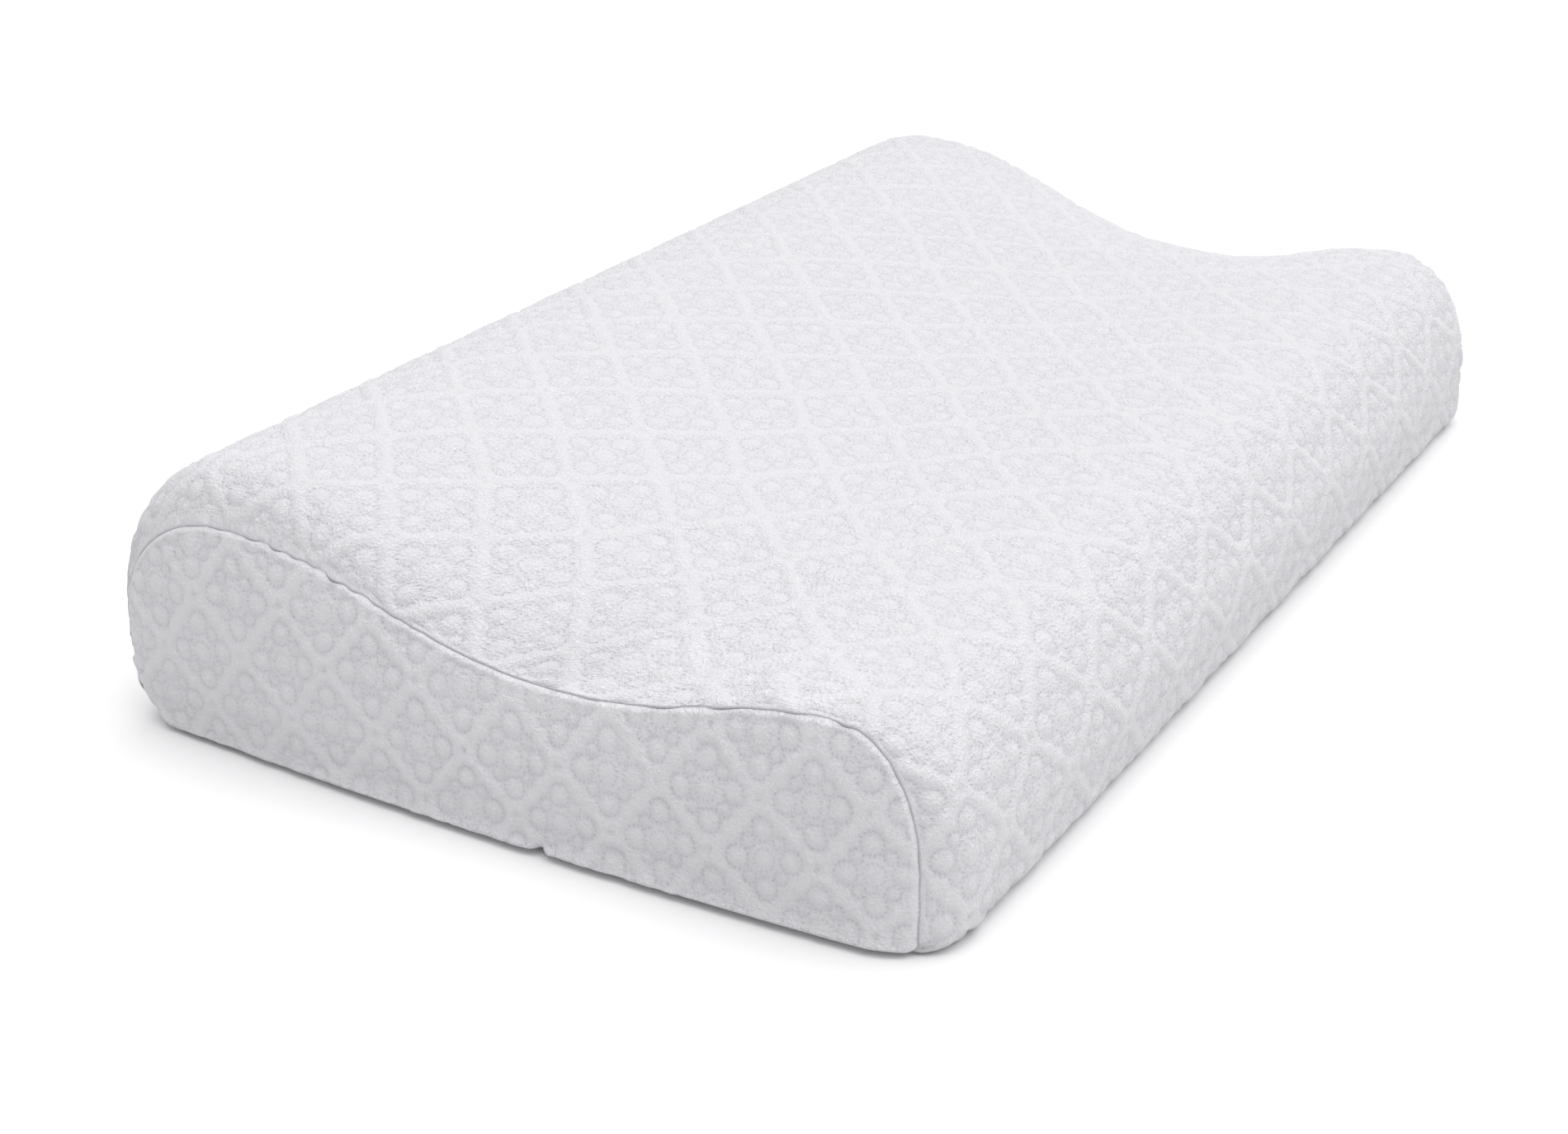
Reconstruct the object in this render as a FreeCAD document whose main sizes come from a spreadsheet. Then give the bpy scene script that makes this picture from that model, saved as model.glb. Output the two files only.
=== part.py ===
import FreeCAD, Part
import math
import os
import Sketcher
from FreeCAD import Vector

# A contour bed pillow: a wave-shaped foam core in a thin sewn liner, inside a zipped quilted cover.
# Frame: +X along the pillow, -Y the side with the low lobe, +Y the side with the high lobe, +Z up.
# The origin is the middle of the underside. Lengths are in millimetres.

DRIVING_SIZES = (
    ("overall_length", 610, "end panel crown to end panel crown"),
    ("overall_depth", 365, "front of the low lobe to back of the high lobe"),
    ("high_crest_height", 114, "top of the high lobe"),
    ("high_crest_setback", 56, "high crest from the back"),
    ("low_crest_height", 86, "top of the low lobe"),
    ("low_crest_setback", 44, "low crest from the front"),
    ("valley_height", 67, "the foam's hollow for the head, its lowest line if it reached the cover"),
    ("valley_setback", 157, "the foam's hollow from the front"),
    ("bridge_height", 86.5, "the cover's lowest line, where it spans the foam's hollow"),
    ("bridge_setback", 120, "the cover's lowest line from the front"),
    ("bridge_run", 90, "length over which the cover comes down to the hollow's end seam"),
    ("front_face_height", 30, "where the front starts to round over"),
    ("back_face_height", 66, "where the back starts to round over"),
    ("front_foot_radius", 10, "bottom edge along the front"),
    ("back_foot_radius", 24, "bottom edge along the back"),
    ("end_crown", 5, "bulge of an end panel beyond its seam"),
    ("end_roll", 22, "length over which the wrap rolls in to the end seam"),
    ("seam_drop_high", 21, "end seam below the high crest"),
    ("seam_drop_low", 5, "end seam below the low crest"),
    ("seam_drop_valley", 3, "end seam below the valley"),
    ("seam_inset_front", 13, "end seam behind the front"),
    ("seam_inset_back", 4, "end seam ahead of the back"),
    ("seam_lift", 1.5, "end seam above the underside"),
    ("seam_foot_radius", 4, "front bottom corner of the end seam"),
    ("cover_thickness", 3, "quilted knit of the cover"),
    ("cover_to_liner", 0.4, "air between the cover and the liner"),
    ("cover_to_liner_end", 2.5, "air between an end panel and the liner's end"),
    ("liner_thickness", 0.6, "thin knit of the liner"),
    ("liner_to_foam", 0.3, "air between the liner and the foam"),
    ("overlock_width", 1.2, "overlocked bead inside a sewn edge"),
    ("overlock_depth", 0.8, "overlocked bead along the pillow"),
    ("zip_setback", 160, "zip line from the front, on the underside"),
    ("zip_length", 460, "coil from stop to stop"),
    ("zip_window", 12, "gap between the wrap's two folded edges"),
    ("zip_channel_width", 34, "recess that the zip lies in"),
    ("zip_channel_depth", 5, "recess above the surface the pillow rests on"),
    ("zip_channel_overrun", 30, "recess beyond each end of the coil, room for the pull tab"),
    ("tape_width", 12, "one tape"),
    ("tape_thickness", 0.5, "woven tape"),
    ("tape_overrun", 8, "tape beyond each end of the coil"),
    ("tape_half_gap", 0.8, "coil edge to the zip's middle line"),
    ("coil_width", 1.8, "one side of the coil"),
    ("coil_height", 1.6, "coil standing out of the tape"),
    ("stop_length", 2.4, "metal stop along the zip"),
    ("stitch_width", 0.6, "row of topstitching"),
    ("stitch_setback", 3, "topstitching from the wrap's folded edge"),
    ("closing_gap", 1, "the wrap's two edges where they are sewn together"),
    ("slider_length", 10, "slider along the zip"),
    ("slider_plate", 0.9, "each plate of the slider"),
    ("slider_flange", 0.7, "side lips of the slider"),
    ("slider_clearance", 0.25, "slider to coil and tape"),
    ("slider_side_clearance", 0.35, "slider lip to coil"),
    ("slider_end_clearance", 0.5, "slider to a stop at the end of its run"),
    ("slider_corner", 1.6, "rounded corners of the slider"),
    ("post_length", 2.4, "post that joins the slider's plates"),
    ("post_width", 0.9, "post across the zip"),
    ("crown_length", 6, "crown along the slider"),
    ("crown_width", 2.2, "crown across the slider"),
    ("crown_leg", 1.1, "each leg of the crown"),
    ("crown_bar", 0.9, "bar of the crown that holds the pull tab"),
    ("pull_length", 22, "hinge line to the tip of the pull tab"),
    ("pull_width", 6.4, "pull tab"),
    ("pull_thickness", 1, "pull tab and its hinge bar"),
    ("pull_eye_length", 5, "window that the crown stands in"),
    ("pull_side_clearance", 0.4, "crown to the pull tab's arms"),
    ("pull_hinge_clearance", 0.25, "hinge bar to the slider and the crown"),
    ("pull_corner", 2.4, "rounded tip of the pull tab"),
    ("pull_edge", 0.3, "rounded edges of the pull tab"),
    ("pull_slot_length", 6, "slot near the tip"),
    ("pull_slot_width", 2.4, "slot near the tip"),
    ("pull_slot_margin", 3, "slot from the tip"),
    ("label_width", 25, "care label"),
    ("label_height", 40, "care label, out of the seam"),
    ("label_thickness", 0.5, "folded ribbon"),
    ("label_setback", 240, "care label from the front"),
)

ROUND = 0.56        # handle of a cubic curve that turns a quarter of an oval
CREST_HANDLE = 0.40  # handle of the wave at a crest, as a share of the run to the valley
VALLEY_HANDLE = 0.44  # handle of the wave at the valley, as a share of the run to the crest
ROLL_STEPS = 5      # straight steps that make the roll at each end
BRIDGE_STEPS = 4    # straight steps that bring the cover down to its end seam in the hollow
SMALLEST_RADIUS = 0.5
SKIN = 1.0          # how far a cutter reaches past the surface it cuts

doc = FreeCAD.newDocument("contour_pillow")
sheet = doc.addObject("Spreadsheet::Sheet", "Sizes")
for row, (alias, value, note) in enumerate(DRIVING_SIZES, start=1):
    sheet.set("A%d" % row, alias)
    sheet.set("B%d" % row, str(value))
    sheet.set("C%d" % row, note)
    sheet.setAlias("B%d" % row, alias)
doc.recompute()


def size(alias):
    """One driving size, read from the sheet."""
    return float(sheet.get(alias))


# Places that several pieces share, written once as expressions on the sheet.
SEAM_X = "(Sizes.overall_length / 2 - Sizes.end_crown)"
ZIP_Y = "(Sizes.zip_setback - Sizes.overall_depth / 2)"
COIL_END_X = "(Sizes.zip_length / 2)"
CHANNEL_END_X = "(Sizes.zip_length / 2 + Sizes.zip_channel_overrun)"
WINDOW_END_X = "(Sizes.zip_length / 2 + Sizes.stop_length)"
TAPE_Z = "(Sizes.zip_channel_depth + Sizes.cover_thickness)"
COIL_Z = "(%s - Sizes.coil_height)" % TAPE_Z
SLIDER_Z = "(%s - Sizes.slider_clearance - Sizes.slider_plate)" % COIL_Z
INNER_PLATE_Z = "(%s + Sizes.tape_thickness + Sizes.slider_clearance)" % TAPE_Z
SLIDER_HALF_WIDTH = ("(Sizes.tape_half_gap + Sizes.coil_width"
                     " + Sizes.slider_side_clearance + Sizes.slider_flange)")
SLIDER_X = "(Sizes.slider_end_clearance + Sizes.slider_length / 2 - %s)" % COIL_END_X
HINGE_Z = "(%s - Sizes.pull_hinge_clearance - Sizes.pull_thickness / 2)" % SLIDER_Z
CROWN_ROOM = "(Sizes.pull_thickness + 2 * Sizes.pull_hinge_clearance)"


# ---------------------------------------------------------------- the wave-shaped soft solids

class Outline:
    """The closed outline of the pillow seen from its end, at one place along it."""

    VALLEY_FIELDS = ("valley", "valley_setback")
    OTHER_FIELDS = ("front", "back", "floor", "low", "high", "front_foot", "back_foot")

    def __init__(self, **values):
        self.values = values

    def mixed(self, other, share, valley_share):
        """This outline moved a share of the way to another one, its valley a share of its own."""
        shares = dict.fromkeys(self.OTHER_FIELDS, share)
        shares.update(dict.fromkeys(self.VALLEY_FIELDS, valley_share))
        return Outline(**{name: value + shares[name] * (other.values[name] - value)
                          for name, value in self.values.items()})

    def wire(self, x, inset):
        """The outline at x, taken in by inset all round, front bottom first."""
        v = self.values
        front = v["front"] + inset
        back = v["back"] - inset
        floor = v["floor"] + inset
        front_foot = max(v["front_foot"] - inset, SMALLEST_RADIUS)
        back_foot = max(v["back_foot"] - inset, SMALLEST_RADIUS)
        half_depth = size("overall_depth") / 2
        low_y = size("low_crest_setback") - half_depth
        valley_y = v["valley_setback"] - half_depth
        high_y = half_depth - size("high_crest_setback")
        low_z = v["low"] - inset
        valley_z = v["valley"] - inset
        high_z = v["high"] - inset
        front_z = size("front_face_height")
        back_z = size("back_face_height") - (size("high_crest_height") - v["high"])

        def at(y, z):
            return Vector(x, y, z)

        def curve(*poles):
            piece = Part.BezierCurve()
            piece.setPoles([at(y, z) for y, z in poles])
            return piece.toShape()

        def wave(y0, z0, handle0, y1, z1, handle1):
            run = y1 - y0
            return curve((y0, z0), (y0 + handle0 * run, z0), (y1 - handle1 * run, z1), (y1, z1))

        keep = 1 - ROUND
        edges = [
            Part.LineSegment(at(front + front_foot, floor), at(back - back_foot, floor)).toShape(),
            curve((back - back_foot, floor), (back - keep * back_foot, floor),
                  (back, floor + keep * back_foot), (back, floor + back_foot)),
            Part.LineSegment(at(back, floor + back_foot), at(back, back_z)).toShape(),
            curve((back, back_z), (back, back_z + ROUND * (high_z - back_z)),
                  (high_y + ROUND * (back - high_y), high_z), (high_y, high_z)),
            wave(high_y, high_z, CREST_HANDLE, valley_y, valley_z, VALLEY_HANDLE),
            wave(valley_y, valley_z, VALLEY_HANDLE, low_y, low_z, CREST_HANDLE),
            curve((low_y, low_z), (low_y - ROUND * (low_y - front), low_z),
                  (front, front_z + ROUND * (low_z - front_z)), (front, front_z)),
            Part.LineSegment(at(front, front_z), at(front, floor + front_foot)).toShape(),
            curve((front, floor + front_foot), (front, floor + keep * front_foot),
                  (front + keep * front_foot, floor), (front + front_foot, floor)),
        ]
        return Part.Wire(edges)


def full_outline(bridged):
    """The outline along the middle of the pillow, of the cover where it spans the hollow or of the foam."""
    half_depth = size("overall_depth") / 2
    span = "bridge" if bridged else "valley"
    return Outline(front=-half_depth, back=half_depth, floor=0.0,
                   low=size("low_crest_height"), valley=size(span + "_height"),
                   valley_setback=size(span + "_setback"), high=size("high_crest_height"),
                   front_foot=size("front_foot_radius"), back_foot=size("back_foot_radius"))


def seam_outline():
    """The outline of the seam round each end."""
    full = full_outline(False).values
    return Outline(front=full["front"] + size("seam_inset_front"),
                   back=full["back"] - size("seam_inset_back"), floor=size("seam_lift"),
                   low=full["low"] - size("seam_drop_low"),
                   valley=full["valley"] - size("seam_drop_valley"),
                   valley_setback=full["valley_setback"],
                   high=full["high"] - size("seam_drop_high"),
                   front_foot=size("seam_foot_radius"), back_foot=full["back_foot"])


def seam_plane():
    """Distance from the middle of the pillow to the plane of an end seam."""
    return size("overall_length") / 2 - size("end_crown")


def roll_stations():
    """Pairs of distance in from the seam plane and share of the full outline, straight between."""
    angles = [math.pi / 2 * step / ROLL_STEPS for step in range(ROLL_STEPS + 1)]
    return [(size("end_roll") * (1 - math.cos(angle)), math.sin(angle)) for angle in angles]


def bridge_distances():
    """Distances in from the seam plane, past the roll, where the cover's rise changes slope."""
    run = size("bridge_run") - size("end_roll")
    return [size("end_roll") + run * step / BRIDGE_STEPS for step in range(1, BRIDGE_STEPS + 1)]


def roll_share(distance):
    """Share of the full outline that the roll has reached at a distance in from the seam plane."""
    stations = roll_stations()
    for (near, near_share), (far, far_share) in zip(stations, stations[1:]):
        if distance <= far:
            return near_share + (far_share - near_share) * (distance - near) / (far - near)
    return 1.0


def outline_at(distance, bridged):
    """The outline at a distance in from the seam plane, of the cover or of what lies on the foam."""
    share = roll_share(distance)
    valley_share = share
    if bridged:
        valley_share = 1 - max(0.0, 1 - distance / size("bridge_run")) ** 2
    return seam_outline().mixed(full_outline(bridged), share, valley_share)


def wave_solid(inset, shorter, bridged):
    """The pillow's whole shape taken in by inset, its ends cut short of the seam planes."""
    distances = [shorter] + [near for near, _ in roll_stations() if near > shorter]
    if bridged:
        distances += bridge_distances()
    half = [(seam_plane() - distance, outline_at(distance, bridged)) for distance in distances]
    wires = [outline.wire(-x, inset) for x, outline in half]
    wires += [outline.wire(x, inset) for x, outline in reversed(half)]
    return Part.makeLoft(wires, True, True)


def feature(name, shape):
    """A document object that holds a shape made from the sheet's sizes."""
    piece = doc.addObject("Part::Feature", name)
    piece.Shape = shape
    return piece


def mirrored_to_left(shape):
    """The same piece for the pillow's other end."""
    return shape.mirror(Vector(0, 0, 0), Vector(1, 0, 0))


def end_pair(name, right_shape):
    """One piece for each end of the pillow, labelled left (-X) and right (+X)."""
    pieces = []
    for side, shape in (("left", mirrored_to_left(right_shape)), ("right", right_shape)):
        piece = feature("%s_%s" % (name, side), shape)
        piece.Label = "%s_%s" % (name, side)
        pieces.append(piece)
    return pieces


# ---------------------------------------------------------------- blocks bound to the sheet

def block(name, centre_x, centre_y, low_z, length, width, height):
    """A Part::Box whose sizes and place are expressions on the sheet."""
    box = doc.addObject("Part::Box", name)
    box.setExpression("Length", length)
    box.setExpression("Width", width)
    box.setExpression("Height", height)
    box.setExpression("Placement.Base.x", "%s - (%s) / 2" % (centre_x, length))
    box.setExpression("Placement.Base.y", "%s - (%s) / 2" % (centre_y, width))
    box.setExpression("Placement.Base.z", low_z)
    return box


def cut(name, base, tools):
    """Base less all the tools, as boolean objects of the document."""
    tool = tools[0]
    if len(tools) > 1:
        tool = doc.addObject("Part::MultiFuse", name + "_tools")
        tool.Shapes = tools
    result = doc.addObject("Part::Cut", name)
    result.Base = base
    result.Tool = tool
    return result


def channel_block(name, margin, height):
    """The zip's recess, grown by a margin at its sides and ends, open below the underside."""
    return block(name, "0", ZIP_Y, "-%s" % SKIN,
                 "2 * %s + 2 * (%s)" % (CHANNEL_END_X, margin),
                 "Sizes.zip_channel_width + 2 * (%s)" % margin,
                 "%s + %s" % (height, SKIN))


# ---------------------------------------------------------------- cover

def wrap_panel():
    """The cover's one long panel, round the front, top, back and underside to the zip."""
    outer = cut("wrap_outside", feature("wrap_wave", wave_solid(0, 0, True)),
                [channel_block("wrap_channel", "0", "Sizes.zip_channel_depth")])
    hollow = wave_solid(size("cover_thickness"), 0, True)
    inner = cut("wrap_inside", feature("wrap_hollow_wave", hollow),
                [channel_block("wrap_hollow_channel", "Sizes.cover_thickness", TAPE_Z)])
    window = block("wrap_window", "0", ZIP_Y, "-%s" % SKIN, "2 * %s" % WINDOW_END_X,
                   "Sizes.zip_window", "%s + %s" % (TAPE_Z, 2 * SKIN))
    cutters = [inner, window]
    for side, sign in (("left", "-1"), ("right", "1")):
        run = "(%s + %s - %s)" % (SEAM_X, SKIN, WINDOW_END_X)
        centre = "%s * (%s + %s / 2)" % (sign, WINDOW_END_X, run)
        cutters.append(block("wrap_edges_" + side, centre, ZIP_Y, "-%s" % SKIN, run,
                             "Sizes.closing_gap", "%s + %s" % (TAPE_Z, 2 * SKIN)))
    panel = cut("wrap_panel", outer, cutters)
    panel.Label = "wrap_panel"
    return [panel]


def end_panels():
    """The two shaped ends of the cover, slightly crowned."""
    crown = size("end_crown")
    profile = ((0.0, 0.0), (0.3, 0.5), (0.72, 9.0), (1.0, 22.0))
    wires = [seam_outline().wire(seam_plane() + rise * crown, inset) for rise, inset in profile]
    return end_pair("end_panel", Part.makeLoft(wires, True, True))


def bead(outline, x, inset):
    """An overlocked bead just inside an outline, from x inwards along the pillow."""
    outside = Part.Face(outline.wire(x, inset))
    inside = Part.Face(outline.wire(x, inset + size("overlock_width")))
    return outside.cut(inside).extrude(Vector(-size("overlock_depth"), 0, 0))


def end_seams():
    """The overlocked seams between the wrap and the end panels."""
    return end_pair("end_seam", bead(seam_outline(), seam_plane(), size("cover_thickness")))


def closing_seams():
    """The seams that join the wrap's two edges from the zip's recess to each end."""
    strips = []
    for side, sign in (("left", "-1"), ("right", "1")):
        run = "(%s - %s - 2 * Sizes.cover_thickness)" % (SEAM_X, CHANNEL_END_X)
        centre = "%s * (%s + Sizes.cover_thickness + %s / 2)" % (sign, CHANNEL_END_X, run)
        strip = block("closing_seam_" + side, centre, ZIP_Y, "Sizes.seam_lift", run,
                      "Sizes.closing_gap", "Sizes.cover_thickness - Sizes.seam_lift")
        strip.Label = "closing_seam_" + side
        strips.append(strip)
    return strips


def care_label():
    """A blank ribbon sewn into the right end seam, inside the cover."""
    label = block("care_label",
                  "%s - Sizes.label_thickness / 2" % SEAM_X,
                  "Sizes.label_setback - Sizes.overall_depth / 2",
                  "Sizes.seam_lift + Sizes.cover_thickness + Sizes.overlock_width",
                  "Sizes.label_thickness", "Sizes.label_width", "Sizes.label_height")
    label.Label = "care_label"
    return [label]


# ---------------------------------------------------------------- liner and foam

LINER_CHANNEL_HEIGHT = "(%s + Sizes.slider_plate + Sizes.cover_to_liner)" % INNER_PLATE_Z


def liner_inset():
    """The liner's outside, in from the cover's outside."""
    return size("cover_thickness") + size("cover_to_liner")


def liner_sleeve():
    """The liner's tube, with the zip's recess pressed into its underside."""
    end = size("cover_to_liner_end") + size("liner_thickness")
    outer = cut("liner_outside", feature("liner_wave", wave_solid(liner_inset(), end, False)),
                [channel_block("liner_channel", "Sizes.cover_thickness + Sizes.cover_to_liner",
                               LINER_CHANNEL_HEIGHT)])
    inner_inset = liner_inset() + size("liner_thickness")
    inner = cut("liner_inside", feature("liner_hollow_wave", wave_solid(inner_inset, end, False)),
                [channel_block("liner_hollow_channel",
                               "Sizes.cover_thickness + Sizes.cover_to_liner + Sizes.liner_thickness",
                               "%s + Sizes.liner_thickness" % LINER_CHANNEL_HEIGHT)])
    sleeve = cut("liner_sleeve", outer, [inner])
    sleeve.Label = "liner_sleeve"
    return [sleeve]


def liner_ends():
    """The liner's two end pieces, flat against the ends of its sleeve."""
    near = size("cover_to_liner_end")
    far = near + size("liner_thickness")
    wires = [outline_at(distance, False).wire(seam_plane() - distance, liner_inset())
             for distance in (far, near)]
    return end_pair("liner_end", Part.makeLoft(wires, True, True))


def liner_seams():
    """The overlocked beads on the outside of the liner's ends."""
    outside = seam_plane() - size("cover_to_liner_end") + size("overlock_depth")
    inset = liner_inset() + size("liner_thickness")
    return end_pair("liner_seam", bead(seam_outline(), outside, inset))


def foam_core():
    """The moulded foam, one piece."""
    inset = liner_inset() + size("liner_thickness") + size("liner_to_foam")
    shorter = size("cover_to_liner_end") + size("liner_thickness") + size("liner_to_foam")
    margin = ("Sizes.cover_thickness + Sizes.cover_to_liner"
              " + Sizes.liner_thickness + Sizes.liner_to_foam")
    core = cut("foam_core", feature("foam_wave", wave_solid(inset, shorter, False)),
               [channel_block("foam_channel", margin,
                              "%s + Sizes.liner_thickness + Sizes.liner_to_foam"
                              % LINER_CHANNEL_HEIGHT)])
    core.Label = "foam_core"
    return [core]


# ---------------------------------------------------------------- sketch tools for the metal parts

def origin_plane(body, role):
    """One of a body's own origin planes."""
    return next(item for item in body.Origin.OriginFeatures if item.Role == role)


def rectangle_sketch(body, name, role, offset, centre, length, width):
    """A rectangle on an origin plane, its size and place bound to expressions."""
    sketch = body.newObject("Sketcher::SketchObject", name)
    sketch.AttachmentSupport = [(origin_plane(body, role), "")]
    sketch.MapMode = "FlatFace"
    sketch.setExpression("AttachmentOffset.Base.x", centre)
    sketch.setExpression("AttachmentOffset.Base.z", offset)
    corners = [Vector(-2, -1, 0), Vector(2, -1, 0), Vector(2, 1, 0), Vector(-2, 1, 0)]
    for start, end in zip(corners, corners[1:] + corners[:1]):
        sketch.addGeometry(Part.LineSegment(start, end), False)
    for side in range(4):
        sketch.addConstraint(Sketcher.Constraint("Coincident", side, 2, (side + 1) % 4, 1))
    for side, direction in enumerate(("Horizontal", "Vertical", "Horizontal", "Vertical")):
        sketch.addConstraint(Sketcher.Constraint(direction, side))
    sketch.addConstraint(Sketcher.Constraint("Symmetric", 0, 1, 2, 1, -1, 1))
    long_side = sketch.addConstraint(Sketcher.Constraint("DistanceX", 0, 1, 0, 2, 4.0))
    short_side = sketch.addConstraint(Sketcher.Constraint("DistanceY", 1, 1, 1, 2, 2.0))
    sketch.renameConstraint(long_side, "length")
    sketch.renameConstraint(short_side, "width")
    sketch.setExpression("Constraints.length", length)
    sketch.setExpression("Constraints.width", width)
    return sketch


def pad(body, name, sketch, length, midplane=False):
    """A pad whose length is an expression."""
    solid = body.newObject("PartDesign::Pad", name)
    solid.Profile = sketch
    solid.Midplane = midplane
    solid.setExpression("Length", length)
    return solid


def pocket(body, name, sketch):
    """A pocket right through the body, both ways from its sketch."""
    base_volume = body.Shape.Volume
    hollow = body.newObject("PartDesign::Pocket", name)
    hollow.Profile = sketch
    hollow.Type = "ThroughAll"
    hollow.Midplane = True
    doc.recompute()
    if not body.Shape.Volume < base_volume:
        raise ValueError("%s cuts nothing" % name)
    return hollow


def fillet(body, name, radius, wanted):
    """A fillet on the edges that a test picks, its radius an expression."""
    doc.recompute()
    base = body.Tip
    names = ["Edge%d" % (index + 1) for index, edge in enumerate(base.Shape.Edges) if wanted(edge)]
    rounded = body.newObject("PartDesign::Fillet", name)
    rounded.Base = (base, names)
    rounded.setExpression("Radius", radius)
    doc.recompute()
    return rounded


def runs_along(edge, axis):
    """Whether an edge is straight and lies along an axis."""
    if edge.Curve.TypeId != "Part::GeomLine":
        return False
    direction = edge.Vertexes[-1].Point.sub(edge.Vertexes[0].Point).normalize()
    return abs(direction.dot(axis)) > 0.999


X_AXIS = Vector(1, 0, 0)
Y_AXIS = Vector(0, 1, 0)
Z_AXIS = Vector(0, 0, 1)


def new_body(name, x, y):
    """A PartDesign body that stands at an x and y given as expressions."""
    body = doc.addObject("PartDesign::Body", name)
    body.Label = name
    body.setExpression("Placement.Base.x", x)
    body.setExpression("Placement.Base.y", y)
    return body


# ---------------------------------------------------------------- zip

def zip_tapes():
    """The two woven tapes, lying on the inside of the wrap's folded edges."""
    pieces = []
    for side, sign in (("front", "-1"), ("back", "1")):
        centre_y = "%s + %s * (Sizes.tape_half_gap + Sizes.tape_width / 2)" % (ZIP_Y, sign)
        tape = block("zip_tape_" + side, "0", centre_y, TAPE_Z,
                     "Sizes.zip_length + 2 * Sizes.tape_overrun",
                     "Sizes.tape_width", "Sizes.tape_thickness")
        tape.Label = "zip_tape_" + side
        pieces.append(tape)
    return pieces


def zip_coils():
    """The two sides of the nylon coil, a round-edged bar under the edge of each tape."""
    pieces = []
    for side, sign in (("front", "-1"), ("back", "1")):
        centre_y = "%s + %s * (Sizes.tape_half_gap + Sizes.coil_width / 2)" % (ZIP_Y, sign)
        body = new_body("zip_coil_" + side, "0 mm", centre_y)
        outline = rectangle_sketch(body, "coil_outline_" + side, "XY_Plane", COIL_Z, "0",
                                   "Sizes.zip_length", "Sizes.coil_width")
        pad(body, "coil_bar_" + side, outline, "Sizes.coil_height")
        fillet(body, "coil_round_" + side, "0.3 * Sizes.coil_height",
               lambda edge: runs_along(edge, X_AXIS) and edge.BoundBox.ZMax < middle_of_coil())
        pieces.append(body)
    return pieces


def middle_of_coil():
    """Half height of the coil, above which its edges stay square on the tape."""
    return size("zip_channel_depth") + size("cover_thickness") - size("coil_height") / 2


def zip_stitching():
    """The rows of topstitching through the wrap and the tapes."""
    pieces = []
    for side, sign in (("front", "-1"), ("back", "1")):
        centre_y = "%s + %s * (Sizes.zip_window / 2 + Sizes.stitch_setback)" % (ZIP_Y, sign)
        row = block("zip_stitching_" + side, "0", centre_y,
                    "Sizes.zip_channel_depth - Sizes.stitch_width / 2",
                    "2 * %s" % WINDOW_END_X, "Sizes.stitch_width", "Sizes.stitch_width / 2")
        row.Label = "zip_stitching_" + side
        pieces.append(row)
    return pieces


def stop_block(name, centre_x, centre_y, width):
    """One metal stop crimped under the tapes at an end of the coil."""
    return block(name, centre_x, centre_y, COIL_Z, "Sizes.stop_length", width, "Sizes.coil_height")


def zip_stops():
    """A pair of top stops at the left end of the coil and one bottom stop at the right end."""
    left_x = "-(%s + Sizes.stop_length / 2)" % COIL_END_X
    pair = [stop_block("top_stop_" + side, left_x,
                       "%s + %s * (Sizes.tape_half_gap + Sizes.coil_width / 2)" % (ZIP_Y, sign),
                       "Sizes.coil_width")
            for side, sign in (("front", "-1"), ("back", "1"))]
    top_stops = doc.addObject("Part::Compound", "zip_top_stops")
    top_stops.Links = pair
    top_stops.Label = "zip_top_stops"
    bottom_stop = stop_block("zip_bottom_stop", "%s + Sizes.stop_length / 2" % COIL_END_X, ZIP_Y,
                             "2 * (Sizes.tape_half_gap + Sizes.coil_width)")
    bottom_stop.Label = "zip_bottom_stop"
    return [top_stops, bottom_stop]


def slider_body():
    """The slider: two plates joined by a post, with lips that run beside the coil."""
    body = new_body("zip_slider_body", SLIDER_X, ZIP_Y)
    width = "2 * %s" % SLIDER_HALF_WIDTH
    post_x = "(Sizes.post_length - Sizes.slider_length) / 2"
    post = rectangle_sketch(body, "post_outline", "XY_Plane", SLIDER_Z, post_x,
                            "Sizes.post_length", "Sizes.post_width")
    pad(body, "post", post, "%s + Sizes.slider_plate - %s" % (INNER_PLATE_Z, SLIDER_Z))
    for name, low_z in (("outer_plate", SLIDER_Z), ("inner_plate", INNER_PLATE_Z)):
        outline = rectangle_sketch(body, name + "_outline", "XY_Plane", low_z, "0",
                                   "Sizes.slider_length", width)
        pad(body, name, outline, "Sizes.slider_plate")
    fillet(body, "slider_corners", "Sizes.slider_corner",
           lambda edge: runs_along(edge, Z_AXIS) and edge.Length < 2 * size("slider_plate")
           and edge.BoundBox.YMax * edge.BoundBox.YMin > size("post_width") ** 2)
    for side, sign in (("front", "-1"), ("back", "1")):
        lip = rectangle_sketch(body, "lip_outline_" + side, "XY_Plane", SLIDER_Z, "0",
                               "Sizes.slider_length - 2 * Sizes.slider_corner",
                               "Sizes.slider_flange")
        lip.setExpression("AttachmentOffset.Base.y",
                          "%s * (%s - Sizes.slider_flange / 2)" % (sign, SLIDER_HALF_WIDTH))
        pad(body, "lip_" + side, lip,
            "%s - Sizes.slider_clearance - %s" % (TAPE_Z, SLIDER_Z))
    return body


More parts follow.
